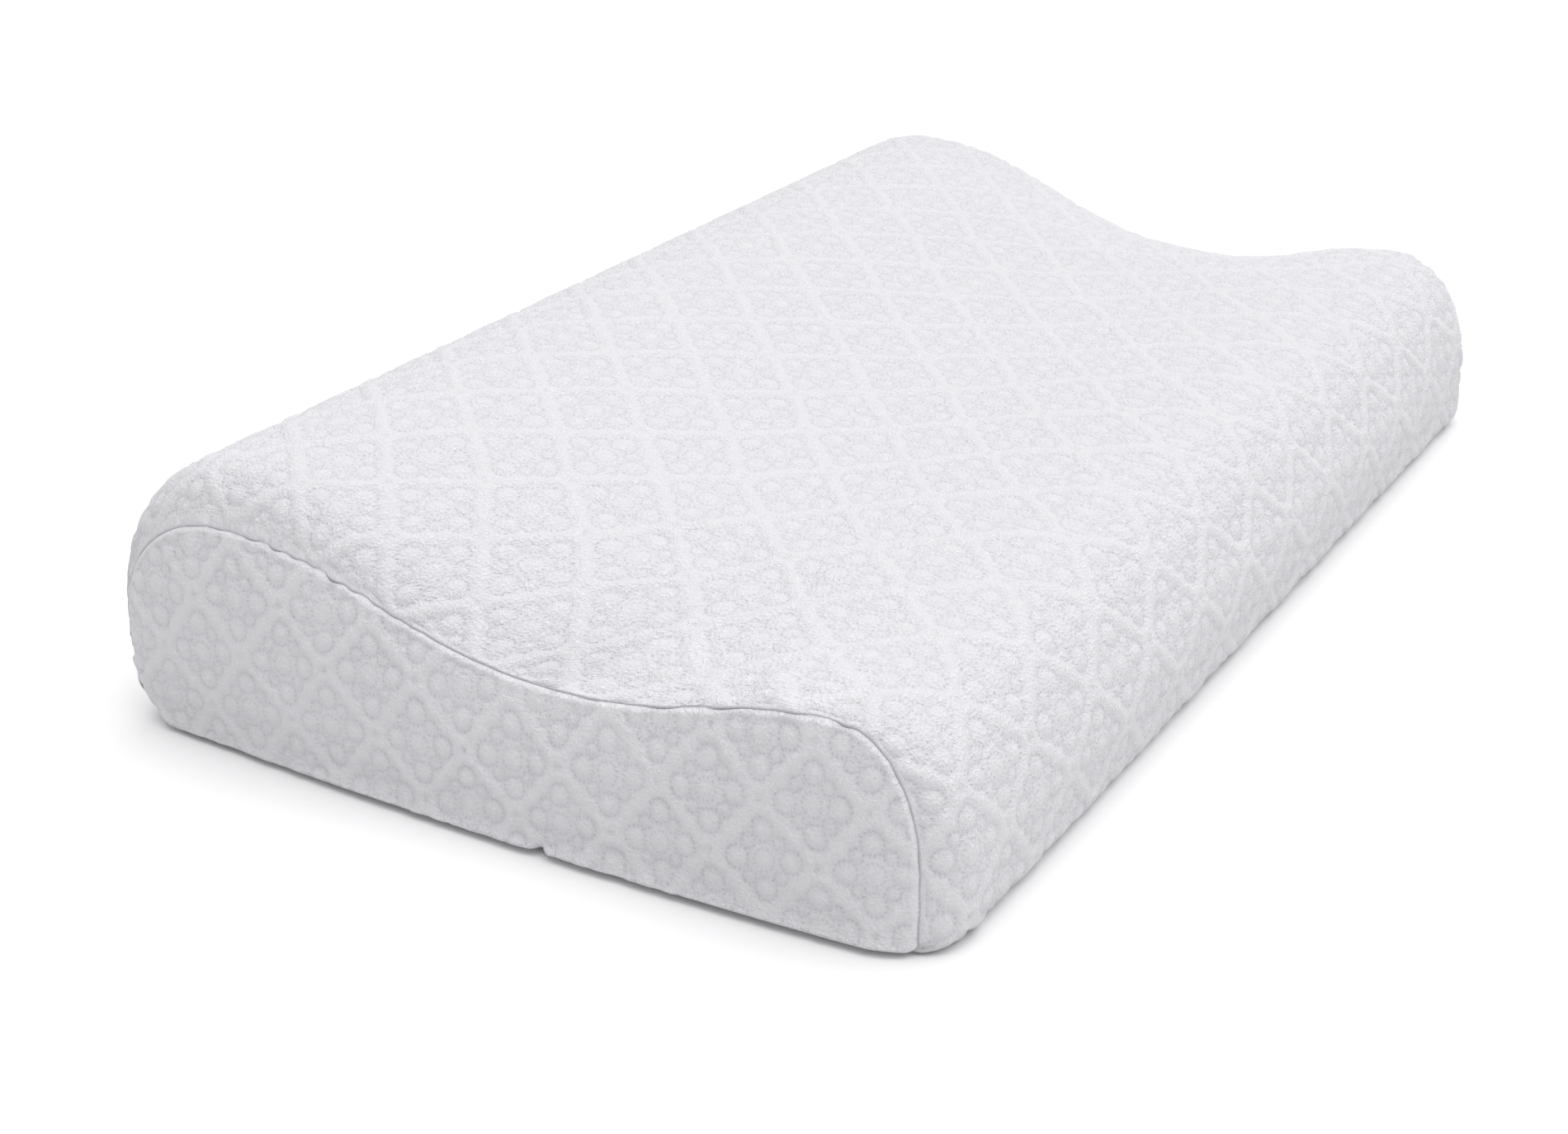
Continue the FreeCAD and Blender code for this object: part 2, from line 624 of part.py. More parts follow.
def slider_crown():
    """The arch on the slider that holds the pull tab's hinge bar."""
    body = new_body("zip_slider_crown", SLIDER_X, ZIP_Y)
    height = "%s + Sizes.crown_bar" % CROWN_ROOM
    outline = rectangle_sketch(body, "crown_outline", "XY_Plane", "%s - (%s)" % (SLIDER_Z, height),
                               "0", "Sizes.crown_length", "Sizes.crown_width")
    pad(body, "crown_block", outline, height)
    doc.recompute()
    room = rectangle_sketch(body, "crown_room_outline", "XZ_Plane", "0", "0",
                            "Sizes.crown_length - 2 * Sizes.crown_leg", CROWN_ROOM)
    room.setExpression("AttachmentOffset.Base.y", "%s - %s / 2" % (SLIDER_Z, CROWN_ROOM))
    pocket(body, "crown_room", room)
    fillet(body, "crown_shoulders", "0.8 * Sizes.crown_bar",
           lambda edge: runs_along(edge, Y_AXIS) and edge.BoundBox.ZMax < body.Shape.BoundBox.ZMin + 0.01
           and edge.BoundBox.XLength < 0.01)
    return body


def pull_tab():
    """The pull tab, flat along the coil at rest, hinged on the bar that passes under the crown."""
    body = new_body("zip_pull_tab", SLIDER_X, ZIP_Y)
    low_z = "%s - Sizes.pull_thickness / 2" % HINGE_Z
    length = "Sizes.pull_length + Sizes.pull_thickness / 2"
    middle = "(Sizes.pull_length - Sizes.pull_thickness / 2) / 2"
    plate = rectangle_sketch(body, "pull_outline", "XY_Plane", low_z, middle,
                             length, "Sizes.pull_width")
    pad(body, "pull_plate", plate, "Sizes.pull_thickness")
    doc.recompute()
    eye = rectangle_sketch(body, "eye_outline", "XY_Plane", low_z,
                           "(Sizes.pull_thickness + Sizes.pull_eye_length) / 2",
                           "Sizes.pull_eye_length",
                           "Sizes.crown_width + 2 * Sizes.pull_side_clearance")
    pocket(body, "eye", eye)
    slot = rectangle_sketch(body, "slot_outline", "XY_Plane", low_z,
                            "Sizes.pull_length - Sizes.pull_slot_margin - Sizes.pull_slot_length / 2",
                            "Sizes.pull_slot_length", "Sizes.pull_slot_width")
    pocket(body, "slot", slot)
    tip_x = size("pull_length")
    fillet(body, "pull_tip", "Sizes.pull_corner",
           lambda edge: runs_along(edge, Z_AXIS) and edge.BoundBox.XMin > tip_x - 0.01)
    fillet(body, "hinge_bar", "Sizes.pull_edge",
           lambda edge: runs_along(edge, Y_AXIS) and edge.BoundBox.XMax < size("pull_thickness"))
    return body


# ---------------------------------------------------------------- build, test and write

subparts = wrap_panel() + end_panels() + end_seams() + closing_seams() + care_label()
subparts += liner_sleeve() + liner_ends() + liner_seams() + foam_core()
subparts += zip_tapes() + zip_coils() + zip_stitching() + zip_stops()
subparts += [slider_body(), slider_crown(), pull_tab()]
doc.recompute()

for item in doc.Objects:
    if "Invalid" in item.State or "Error" in item.State:
        raise ValueError("%s failed: %s" % (item.Name, item.State))
for piece in subparts:
    if piece.Shape.isNull() or not piece.Shape.isValid() or not piece.Shape.Solids:
        raise ValueError("%s is not a valid solid" % piece.Label)

os.makedirs("parts", exist_ok=True)
for piece in subparts:
    piece.Shape.exportStep(os.path.join("parts", piece.Label + ".step"))
    print("%-20s %d solid(s) %12.2f mm3" % (piece.Label, len(piece.Shape.Solids), piece.Shape.Volume))
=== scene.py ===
"""Contour bed pillow in a quilted knit cover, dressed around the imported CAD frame.

The frame is +X along the pillow, -Y the low lobe, +Y the high lobe and +Z up, with the origin in the
middle of the underside. The wave's sizes below are millimetres; meshes are metres.
"""
import logging
import math
from dataclasses import dataclass, field
from enum import Enum

import bpy
import numpy as np
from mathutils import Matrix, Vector


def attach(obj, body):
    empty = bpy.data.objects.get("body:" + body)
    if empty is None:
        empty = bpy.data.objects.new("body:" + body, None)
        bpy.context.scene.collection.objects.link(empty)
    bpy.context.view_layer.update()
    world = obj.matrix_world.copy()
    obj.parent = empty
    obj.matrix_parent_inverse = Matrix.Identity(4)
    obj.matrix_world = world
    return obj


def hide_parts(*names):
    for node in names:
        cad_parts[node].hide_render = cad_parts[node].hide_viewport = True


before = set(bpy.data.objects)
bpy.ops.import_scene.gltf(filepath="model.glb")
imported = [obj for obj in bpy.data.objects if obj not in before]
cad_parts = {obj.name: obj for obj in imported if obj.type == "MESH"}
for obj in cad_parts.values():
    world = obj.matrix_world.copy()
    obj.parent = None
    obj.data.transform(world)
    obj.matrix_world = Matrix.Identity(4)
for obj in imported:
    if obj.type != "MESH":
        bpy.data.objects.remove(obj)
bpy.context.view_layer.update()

Array = np.ndarray
Socket = bpy.types.NodeSocket
Tree = bpy.types.NodeTree
Thing = bpy.types.Object
Finishing = bpy.types.Material

LOG = logging.getLogger("pillow")
MM = 0.001
SEAM_SHADE_REACH = 0.6
UNEVEN_SHARE = 0.009
FABRIC_SEED = 7
SOCKET_TYPES = {float: "NodeSocketFloat", int: "NodeSocketInt"}


class Lobe(Enum):
    """The two ends of the pillow, with the direction each faces along X."""

    LEFT = -1
    RIGHT = 1


class Slot(Enum):
    """Material slots of the record."""

    COVER = "quilted_knit"
    LINER = "liner_knit"
    FOAM = "memory_foam"
    THREAD = "sewing_thread"
    TAPE = "zip_tape"
    COIL = "zip_coil"
    METAL = "zip_metal"
    LABEL = "label_ribbon"


# ---- node helpers

class Graph:
    """Adds nodes to one node tree and links them, so that a formula reads as a formula."""

    def __init__(self, tree: Tree) -> None:
        """Take the tree to add to."""
        self.tree = tree

    def put(self, value: object, socket: Socket) -> None:
        """Link a socket, or set a plain value.

        Args:
            value: A socket, a number or a tuple.
            socket: The input it goes to.
        """
        if isinstance(value, Socket):
            self.tree.links.new(value, socket)
        elif value is not None:
            socket.default_value = value

    def node(self, kind: str, inputs: dict | None = None, **settings: object) -> bpy.types.Node:
        """Add one node.

        Args:
            kind: The node's type name.
            inputs: Values or sockets by input name or number.
            settings: Properties of the node.

        Returns:
            The node.
        """
        made = self.tree.nodes.new(kind)
        for name, value in settings.items():
            setattr(made, name, value)
        for name, value in (inputs or {}).items():
            self.put(value, made.inputs[name])
        return made

    def math(self, operation: str, a: object, b: object = None, c: object = None,
             clamp: bool = False) -> Socket:
        """Add a math node.

        Args:
            operation: Its operation.
            a: First value.
            b: Second value.
            c: Third value.
            clamp: Whether to keep the result between 0 and 1.

        Returns:
            Its result.
        """
        made = self.node("ShaderNodeMath", operation=operation, use_clamp=clamp)
        for value, socket in zip((a, b, c), made.inputs):
            self.put(value, socket)
        return made.outputs[0]

    def mix(self, share: object, a: object, b: object) -> Socket:
        """Mix two colours.

        Args:
            share: How much of the second one.
            a: First colour.
            b: Second colour.

        Returns:
            The mixed colour.
        """
        made = self.node("ShaderNodeMix", {0: share, 6: a, 7: b}, data_type="RGBA")
        return made.outputs[2]

    def ramp(self, value: object, low: float, high: float,
             to_low: float = 0.0, to_high: float = 1.0) -> Socket:
        """Map a range smoothly onto another.

        Args:
            value: What is mapped.
            low: Start of its range.
            high: End of its range.
            to_low: Result at the start.
            to_high: Result at the end.

        Returns:
            The mapped value.
        """
        made = self.node("ShaderNodeMapRange", {0: value, 1: low, 2: high, 3: to_low, 4: to_high},
                         interpolation_type="SMOOTHSTEP")
        return made.outputs[0]

    def times(self, a: object, b: object) -> Socket:
        """Return a product."""
        return self.math("MULTIPLY", a, b)

    def plus(self, a: object, b: object) -> Socket:
        """Return a sum."""
        return self.math("ADD", a, b)

    def minus(self, a: object, b: object) -> Socket:
        """Return a difference."""
        return self.math("SUBTRACT", a, b)

    def size(self, a: object) -> Socket:
        """Return a value without its sign."""
        return self.math("ABSOLUTE", a)

    def length(self, x: object, y: object) -> Socket:
        """Return the length of a step with two parts."""
        return self.math("SQRT", self.plus(self.math("POWER", x, 2.0), self.math("POWER", y, 2.0)))

    def split(self, vector: object) -> tuple:
        """Return the X, Y and Z of a vector."""
        return tuple(self.node("ShaderNodeSeparateXYZ", {0: vector}).outputs)

    def join(self, x: object, y: object, z: object = 0.0) -> Socket:
        """Return a vector made of three numbers."""
        return self.node("ShaderNodeCombineXYZ", {0: x, 1: y, 2: z}).outputs[0]

    def place(self) -> Socket:
        """Return where a shaded point lies in its own piece."""
        return self.node("ShaderNodeTexCoord").outputs["Object"]

    def noise(self, vector: object, scale: float, detail: float = 2.0,
              roughness: float = 0.5) -> Socket:
        """Return cloudy noise, from its place, how fine it is and how much detail it has."""
        return self.node("ShaderNodeTexNoise", {"Vector": vector, "Scale": scale, "Detail": detail,
                                                "Roughness": roughness}).outputs[0]

    def points_along(self, line: object, pitch: object) -> bpy.types.Node:
        """Return a node that sets points at even steps along the edges of a mesh."""
        curve = self.node("GeometryNodeMeshToCurve", {0: line})
        return self.node("GeometryNodeCurveToPoints", {0: curve.outputs[0], "Length": pitch}, mode="LENGTH")

    def close(self, geometry: object, finish: object, leave: bpy.types.Node, smooth: bool = False) -> None:
        """End a tree: realize the instances and set their material.

        Args:
            geometry: What the tree has made.
            finish: The material.
            leave: The tree's output node.
            smooth: Whether the faces are shaded smooth.
        """
        made = self.node("GeometryNodeRealizeInstances", {0: geometry})
        if smooth:
            made = self.node("GeometryNodeSetShadeSmooth", {0: made.outputs[0]})
        dressed = self.node("GeometryNodeSetMaterial", {0: made.outputs[0], "Material": finish})
        self.put(dressed.outputs[0], leave.inputs[0])


def new_group(name: str, kind: str, inputs: dict, outputs: dict) -> tuple:
    """Make an empty node group with named sockets.

    Args:
        name: The group's name.
        kind: "ShaderNodeTree" or "GeometryNodeTree".
        inputs: Input names with a default number, or with a socket type.
        outputs: Output names with socket types.

    Returns:
        The tree, its Graph, its input node and its output node.
    """
    tree = bpy.data.node_groups.new(name, kind)
    for title, given in inputs.items():
        plain = SOCKET_TYPES.get(type(given))
        made = tree.interface.new_socket(title, in_out="INPUT", socket_type=plain or given)
        if plain:
            made.default_value = given
    for title, socket_type in outputs.items():
        tree.interface.new_socket(title, in_out="OUTPUT", socket_type=socket_type)
    graph = Graph(tree)
    return tree, graph, graph.node("NodeGroupInput"), graph.node("NodeGroupOutput")


# ---- the quilted motif

@dataclass(frozen=True)
class Motif:
    """The cover's raised pattern, in shares of one cell of its lattice.

    Smooth bands run between the cells. Each cell holds a flower of stitched outlines: a ring, four
    petals towards the cell's corners and four beads towards its sides.
    """

    ring: float = 0.138
    petal: float = 0.145
    petal_out: float = 0.255
    bead: float = 0.088
    bead_out: float = 0.300
    heart: float = 0.240
    cell: float = 33.0
    ring_dots: int = 14
    petal_dots: int = 14
    bead_dots: int = 9

    def circles(self) -> tuple:
        """Return (x, y, radius, dots) of each outline in one folded quarter of a cell."""
        return ((0.0, 0.0, self.ring, self.ring_dots),
                (self.petal_out, self.petal_out, self.petal, self.petal_dots),
                (self.bead_out, 0.0, self.bead, self.bead_dots),
                (0.0, self.bead_out, self.bead, self.bead_dots))

    def folded(self, graph: Graph, motif: object) -> tuple:
        """Fold cell coordinates into one quarter of a cell.

        Args:
            graph: Where the nodes go.
            motif: The lattice coordinates.

        Returns:
            The folded x and y, each from 0 at the cell's middle to 0.5 at its sides.
        """
        i, j, _ = graph.split(motif)
        return tuple(graph.size(graph.minus(graph.math("FRACT", value), 0.5))
                     for value in (i, j))

    def reach(self, graph: Graph, x: object, y: object, cx: float, cy: float) -> Socket:
        """Return the distance from a point of the folded cell, in shares of the cell."""
        return graph.length(graph.minus(x, cx), graph.minus(y, cy))

    def outline_distance(self, graph: Graph, x: object, y: object) -> Socket:
        """Return the distance to the nearest stitched outline, in millimetres."""
        nearest = None
        for cx, cy, radius, _ in self.circles():
            off = graph.size(graph.minus(self.reach(graph, x, y, cx, cy), radius))
            nearest = off if nearest is None else graph.math("MINIMUM", nearest, off)
        return graph.times(nearest, self.cell)

    def ring_distance(self, graph: Graph, x: object, y: object) -> Socket:
        """Return the distance to the middle ring, in millimetres."""
        off = graph.minus(self.reach(graph, x, y, 0.0, 0.0), self.ring)
        return graph.times(graph.size(off), self.cell)

    def flower_edge(self, graph: Graph, x: object, y: object) -> Socket:
        """Return the distance out of the whole flower, negative inside it, in millimetres."""
        nearest = graph.minus(self.reach(graph, x, y, 0.0, 0.0), self.heart)
        for cx, cy, radius, _ in self.circles()[1:]:
            off = graph.minus(self.reach(graph, x, y, cx, cy), radius)
            nearest = graph.math("MINIMUM", nearest, off)
        return graph.times(nearest, self.cell)

    def dot_distance(self, graph: Graph, x: object, y: object) -> Socket:
        """Return the distance to the nearest needle hole along the outlines, in millimetres."""
        nearest = None
        for cx, cy, radius, dots in self.circles():
            dx, dy = graph.minus(x, cx), graph.minus(y, cy)
            off = graph.minus(graph.length(dx, dy), radius)
            angle = graph.math("PINGPONG", graph.math("ARCTAN2", dy, dx), math.pi / dots)
            hole = graph.length(off, graph.times(angle, radius))
            nearest = hole if nearest is None else graph.math("MINIMUM", nearest, hole)
        return graph.times(nearest, self.cell)

    def crossing_distance(self, graph: Graph, x: object, y: object) -> Socket:
        """Return the distance to the crossing of two bands, in millimetres."""
        return graph.times(graph.length(graph.minus(0.5, x), graph.minus(0.5, y)), self.cell)


MOTIF = Motif()


def bell(graph: Graph, distance: object, width: object) -> Socket:
    """Return a bell curve of a distance, 1 at zero, in millimetres."""
    share = graph.math("DIVIDE", distance, width)
    return graph.math("EXPONENT", graph.times(graph.math("POWER", share, 2.0), -1.0))


@dataclass(frozen=True)
class Quilting:
    """Raises the motif out of a smooth skin with Geometry Nodes."""

    loft: float = 1.08
    groove_width: float = 1.8
    ring_share: float = 0.55
    arc_share: float = 0.28
    flower_sink: float = 0.14
    sink_run: float = 1.5
    pit_depth: float = 1.3
    pit_width: float = 1.5
    nap: float = 0.50
    nap_rate: float = 300.0
    patch_rate: float = 60.0
    patch_low: float = 0.70
    patch_high: float = 1.20

    def tree(self) -> Tree:
        """Build the tree.

        Returns:
            A tree that moves each point along its normal by the quilting's height there.
        """
        name = "quilting"
        if name in bpy.data.node_groups:
            return bpy.data.node_groups[name]
        tree, graph, entry, leave = new_group(
            name, "GeometryNodeTree",
            {"Skin": "NodeSocketGeometry", "Loft": self.loft * MM,
             "Groove Width": self.groove_width,
             "Ring Share": self.ring_share,
             "Arc Share": self.arc_share,
             "Flower Sink": self.flower_sink * MM,
             "Pit Depth": self.pit_depth * MM,
             "Nap": self.nap * MM,
             "Cloth": "NodeSocketMaterial"},
            {"Skin": "NodeSocketGeometry"})
        given = entry.outputs
        motif = graph.node("GeometryNodeInputNamedAttribute", {0: "motif"}, data_type="FLOAT_VECTOR")
        x, y = MOTIF.folded(graph, motif.outputs[0])
        weight = graph.split(motif.outputs[0])[2]
        width = given["Groove Width"]
        edge = MOTIF.flower_edge(graph, x, y)
        ring = graph.times(bell(graph, MOTIF.ring_distance(graph, x, y), width), given["Ring Share"])
        arc = graph.times(bell(graph, MOTIF.outline_distance(graph, x, y), width), given["Arc Share"])
        groove = graph.math("MAXIMUM", bell(graph, edge, width), graph.math("MAXIMUM", ring, arc))
        pit = bell(graph, MOTIF.crossing_distance(graph, x, y), self.pit_width)
        sink = graph.times(graph.ramp(edge, 0.0, self.sink_run, 1.0, 0.0), given["Flower Sink"])
        down = graph.plus(graph.times(groove, given["Loft"]),
                          graph.plus(sink, graph.times(pit, given["Pit Depth"])))
        place = graph.node("GeometryNodeInputPosition").outputs[0]
        patch = graph.noise(place, self.patch_rate, 1.0)
        down = graph.times(down, graph.ramp(patch, 0.3, 0.7, self.patch_low, self.patch_high))
        grain = graph.times(graph.minus(graph.noise(place, self.nap_rate, 1.0), 0.5), given["Nap"])
        height = graph.times(graph.minus(grain, down), weight)
        # Mask of the grooves and pits, stored for the painted shade that the cover's material lays in them.
        hollow = graph.times(graph.math("MAXIMUM", groove, pit), weight)
        stored = graph.node("GeometryNodeStoreNamedAttribute",
                            {0: given["Skin"], "Name": "hollow", "Value": hollow},
                            data_type="FLOAT", domain="POINT")
        normal = graph.node("GeometryNodeInputNormal")
        lift = graph.node("ShaderNodeVectorMath", {0: normal.outputs[0], "Scale": height},
                          operation="SCALE")
        moved = graph.node("GeometryNodeSetPosition", {0: stored.outputs[0], "Offset": lift.outputs[0]})
        graph.close(moved.outputs[0], given["Cloth"], leave)
        return tree


def placed(name: str, data: object) -> Thing:
    """Make an object from its data and link it to the scene."""
    made = bpy.data.objects.new(name, data)
    bpy.context.scene.collection.objects.link(made)
    return made


def grown(source: Thing, tree: Tree, inputs: dict,
          name: str) -> Thing:
    """Run a Geometry Nodes tree on an object and keep the result as a plain mesh.

    Args:
        source: The object the tree starts from; it is removed.
        tree: The tree.
        inputs: Values of the tree's inputs by name.
        name: The new object's name.

    Returns:
        A new object with the finished mesh.
    """
    modifier = source.modifiers.new(tree.name, "NODES")
    modifier.node_group = tree
    for item in tree.interface.items_tree:
        if item.item_type == "SOCKET" and item.in_out == "INPUT" and item.name in inputs:
            modifier[item.identifier] = inputs[item.name]
    bpy.context.view_layer.update()
    evaluated = source.evaluated_get(bpy.context.evaluated_depsgraph_get())
    mesh = bpy.data.meshes.new_from_object(evaluated)
    source.modifiers.remove(modifier)
    bpy.data.objects.remove(source)
    mesh.name = name
    return placed(name, mesh)


# ---- mesh helpers

def build_object(name: str, points: Array, faces: list, attributes: dict | None = None,
                 smooth: bool = True) -> Thing:
    """Make an object from points in millimetres.

    Args:
        name: The object's name.
        points: One row of x, y, z for each point.
        faces: Arrays of equal faces, or lists of single faces, by point number.
        attributes: Three-number values for each point, by attribute name.
        smooth: Whether the faces are shaded smooth.

    Returns:
        The object, linked to the scene.
    """
    sizes, corners = [], []
    for block in faces:
        block = np.asarray(block)
        sizes.append(np.full(len(block), block.shape[1], dtype=np.int32))
        corners.append(block.ravel())
    size = np.concatenate(sizes)
    corner = np.concatenate(corners).astype(np.int32)
    mesh = bpy.data.meshes.new(name)
    mesh.vertices.add(len(points))
    mesh.vertices.foreach_set("co", (np.asarray(points, dtype=np.float32) * MM).ravel())
    mesh.loops.add(len(corner))
    mesh.loops.foreach_set("vertex_index", corner)
    mesh.polygons.add(len(size))
    starts = np.concatenate(([0], np.cumsum(size)[:-1])).astype(np.int32)
    mesh.polygons.foreach_set("loop_start", starts)
    mesh.update(calc_edges=True)
    mesh.validate()
    if smooth:
        mesh.polygons.foreach_set("use_smooth", np.ones(len(mesh.polygons), dtype=bool))
    for title, values in (attributes or {}).items():
        made = mesh.attributes.new(title, "FLOAT_VECTOR", "POINT")
        made.data.foreach_set("vector", np.asarray(values, dtype=np.float32).ravel())
    return placed(name, mesh)


def grid_quads(rows: int, columns: int, closed: bool, start: int = 0) -> Array:
    """Number the faces of a grid of points.

    Args:
        rows: Rows of points.
        columns: Points in a row.
        closed: Whether each row closes on itself.
        start: Number of the first point.

    Returns:
        Four point numbers for each face, by row and column.
    """
    row = np.arange(rows - 1)[:, None]
    column = np.arange(columns if closed else columns - 1)[None, :]
    following = (column + 1) % columns
    quads = np.stack([row * columns + column, row * columns + following,
                      (row + 1) * columns + following, (row + 1) * columns + column], axis=-1)
    return quads + start
def ring_pair(count: int) -> tuple:
    """Return the numbers of a closed ring's points, and of the point that follows each."""
    ring = np.arange(count)
    return ring, (ring + 1) % count


def band(ring: Array, following: Array, start: int) -> Array:
    """Number the faces between a ring of points and its copy, which is numbered from a start."""
    return np.stack([following, ring, ring + start, following + start], axis=1)


def rim_ring(rows: int, columns: int) -> Array:
    """Number the points round the edge of an open grid, in order."""
    return np.concatenate([np.arange(columns), np.arange(1, rows) * columns + columns - 1,
                           (rows - 1) * columns + np.arange(columns - 1)[::-1],
                           np.arange(1, rows - 1)[::-1] * columns])


def pad_faces(rows: int, columns: int) -> list:
    """Number the faces of a pad made of two equal open grids.

    Args:
        rows: Rows of points in each grid.
        columns: Points in a row.

    Returns:
        Blocks of faces: the first grid, the second one facing the other way, and their rim.
    """
    front = grid_quads(rows, columns, False).reshape(-1, 4)
    ring = rim_ring(rows, columns)
    start = rows * columns
    return [front, front[:, ::-1] + start, band(ring, np.roll(ring, -1), start)]


def run_along(points: Array) -> Array:
    """Return how far along a line of points each of them lies."""
    return np.concatenate(([0.0], np.cumsum(np.hypot(*np.diff(points, axis=0).T))))


def curve_weights(t: Array) -> Array:
    """Return the shares of a curve's four poles at places from 0 to 1 along it."""
    return np.stack([(1 - t) ** 3, 3 * (1 - t) ** 2 * t, 3 * (1 - t) * t ** 2, t ** 3], axis=-1)


def along_x(x: Array, outline: Array) -> Array:
    """Return x, y and z of outlines that stand at places along X."""
    return np.concatenate([np.repeat(x[:, None, None], outline.shape[1], axis=1), outline], axis=2)


def refined(values: Array, rows: Array, columns: Array, fine_rows: Array,
            fine_columns: Array) -> Array:
    """Read a coarse grid of values at finer places.

    Args:
        values: The values, by row and column.
        rows: Where the rows lie.
        columns: Where the columns lie.
        fine_rows: Where the finer rows lie.
        fine_columns: Where the finer columns lie.

    Returns:
        The values at the finer rows and columns.
    """
    wide = np.array([np.interp(fine_columns, columns, row) for row in values])
    return np.array([np.interp(fine_rows, rows, column) for column in wide.T]).T

def smooth_step(value: Array) -> Array:
    """Ease a value from 0 to 1, flat at both ends."""
    value = np.clip(value, 0.0, 1.0)
    return value * value * (3.0 - 2.0 * value)


# ---- the wave

@dataclass(frozen=True)
class Wave:
    """The pillow's outline seen from its end, and how it changes along the pillow. Millimetres."""

    seam_x: float = 300.0
    depth: float = 365.0
    high: float = 114.0
    high_setback: float = 56.0
    low: float = 86.0
    low_setback: float = 44.0
    valley: float = 67.0
    valley_setback: float = 157.0
    bridge: float = 86.5
    bridge_setback: float = 120.0
    bridge_run: float = 90.0
    front_face: float = 30.0
    back_face: float = 66.0
    front_foot: float = 10.0
    back_foot: float = 24.0
    roll: float = 22.0
    seam_high: float = 93.0
    seam_low: float = 81.0
    seam_valley: float = 64.0
    seam_front: float = 13.0
    seam_back: float = 4.0
    seam_floor: float = 1.5
    seam_front_foot: float = 4.0
    quarter_handle: float = 0.56
    crest_handle: float = 0.40
    valley_handle: float = 0.44
    zip_low: float = -60.0
    zip_high: float = 20.0

    def poles(self, distance: Array, inset: Array, bridged: bool) -> Array:
        """Control points of the outline's nine curves.

        Args:
            distance: Distances in from the seam plane.
            inset: How far the outline is taken in, at each of them.
            bridged: True for the cover, which spans the foam's valley.

        Returns:
            An array of places, curves, four poles, and y and z.
        """
        turn = np.clip(1.0 - distance / self.roll, 0.0, 1.0)
        share = np.sqrt(1.0 - turn * turn)
        span = share
        low_line, low_setback = self.valley, self.valley_setback
        if bridged:
            span = 1.0 - np.clip(1.0 - distance / self.bridge_run, 0.0, 1.0) ** 2
            low_line, low_setback = self.bridge, self.bridge_setback
        half = self.depth / 2

        def between(seam: float, full: float, by: Array = share) -> Array:
            """Return a size on its way from the seam's to the full one."""
            return seam + (full - seam) * by

        front = between(self.seam_front - half, -half) + inset
        back = between(half - self.seam_back, half) - inset
        floor = between(self.seam_floor, 0.0) + inset
        front_foot = np.maximum(between(self.seam_front_foot, self.front_foot) - inset, 0.5)
        back_foot = np.maximum(self.back_foot - inset + 0 * share, 0.5)
        high_full = between(self.seam_high, self.high)
        low_y = self.low_setback - half + 0 * share
        high_y = half - self.high_setback + 0 * share
        valley_y = between(self.valley_setback, low_setback, span) - half
        low_z = between(self.seam_low, self.low) - inset
        high_z = high_full - inset
        valley_z = between(self.seam_valley, low_line, span) - inset
        front_z = self.front_face + 0 * share
        back_z = self.back_face - (self.high - high_full)
        q = self.quarter_handle

        def line(y0: object, z0: object, y1: object, z1: object) -> list:
            """Return the poles of a straight stretch."""
            return [(y0 + (y1 - y0) * k / 3, z0 + (z1 - z0) * k / 3) for k in range(4)]

        def wave(y0: object, z0: object, h0: float, y1: object, z1: object, h1: float) -> list:
            """Return the poles of a stretch that is level at both ends."""
            return [(y0, z0), (y0 + h0 * (y1 - y0), z0), (y1 - h1 * (y1 - y0), z1), (y1, z1)]

        curves = [
            line(front + front_foot, floor, back - back_foot, floor),
            [(back - back_foot, floor), (back - (1 - q) * back_foot, floor),
             (back, floor + (1 - q) * back_foot), (back, floor + back_foot)],
            line(back, floor + back_foot, back, back_z),
            [(back, back_z), (back, back_z + q * (high_z - back_z)),
             (high_y + q * (back - high_y), high_z), (high_y, high_z)],
            wave(high_y, high_z, self.crest_handle, valley_y, valley_z, self.valley_handle),
            wave(valley_y, valley_z, self.valley_handle, low_y, low_z, self.crest_handle),
            [(low_y, low_z), (low_y - q * (low_y - front), low_z),
             (front, front_z + q * (low_z - front_z)), (front, front_z)],
            line(front, front_z, front, floor + front_foot),
            [(front, floor + front_foot), (front, floor + (1 - q) * front_foot),
             (front + (1 - q) * front_foot, floor), (front + front_foot, floor)],
        ]
        return np.moveaxis(np.array([[[y, z] for y, z in curve] for curve in curves]), -1, 0)

    def outline(self, distance: Array, stations: "Stations", inset: float | Array = 0.0,
                bridged: bool = True) -> Array:
        """Points of the outline.

        Args:
            distance: Distances in from the seam plane.
            stations: Where the points lie round the outline.
            inset: How far the outline is taken in.
            bridged: True for the cover.

        Returns:
            An array of places, stations, and y and z.
        """
        distance = np.asarray(distance, dtype=float)
        inset = inset + 0.0 * distance
        poles = self.poles(distance, inset, bridged)[:, stations.curve]
        points = np.einsum("nskc,sk->nsc", poles, curve_weights(stations.t))
        base = stations.base_y
        if base is not None:
            first, last = poles[:, 0, 0, 0], poles[:, len(base) - 1, 3, 0]
            known = (base[0], self.zip_low, self.zip_high, base[-1] + stations.base_gap)
            for row in range(len(distance)):
                ends = (first[row], self.zip_low, self.zip_high, last[row])
                points[row, :len(base), 0] = np.interp(base, known, ends)
        return points


@dataclass(frozen=True)
class Stations:
    """Places round the outline: a curve's number and how far along it, from the front bottom."""

    curve: Array
    t: Array
    base_y: Array | None = None
    base_gap: float = 0.0


WAVE = Wave()
ZIP_Y = -22.5


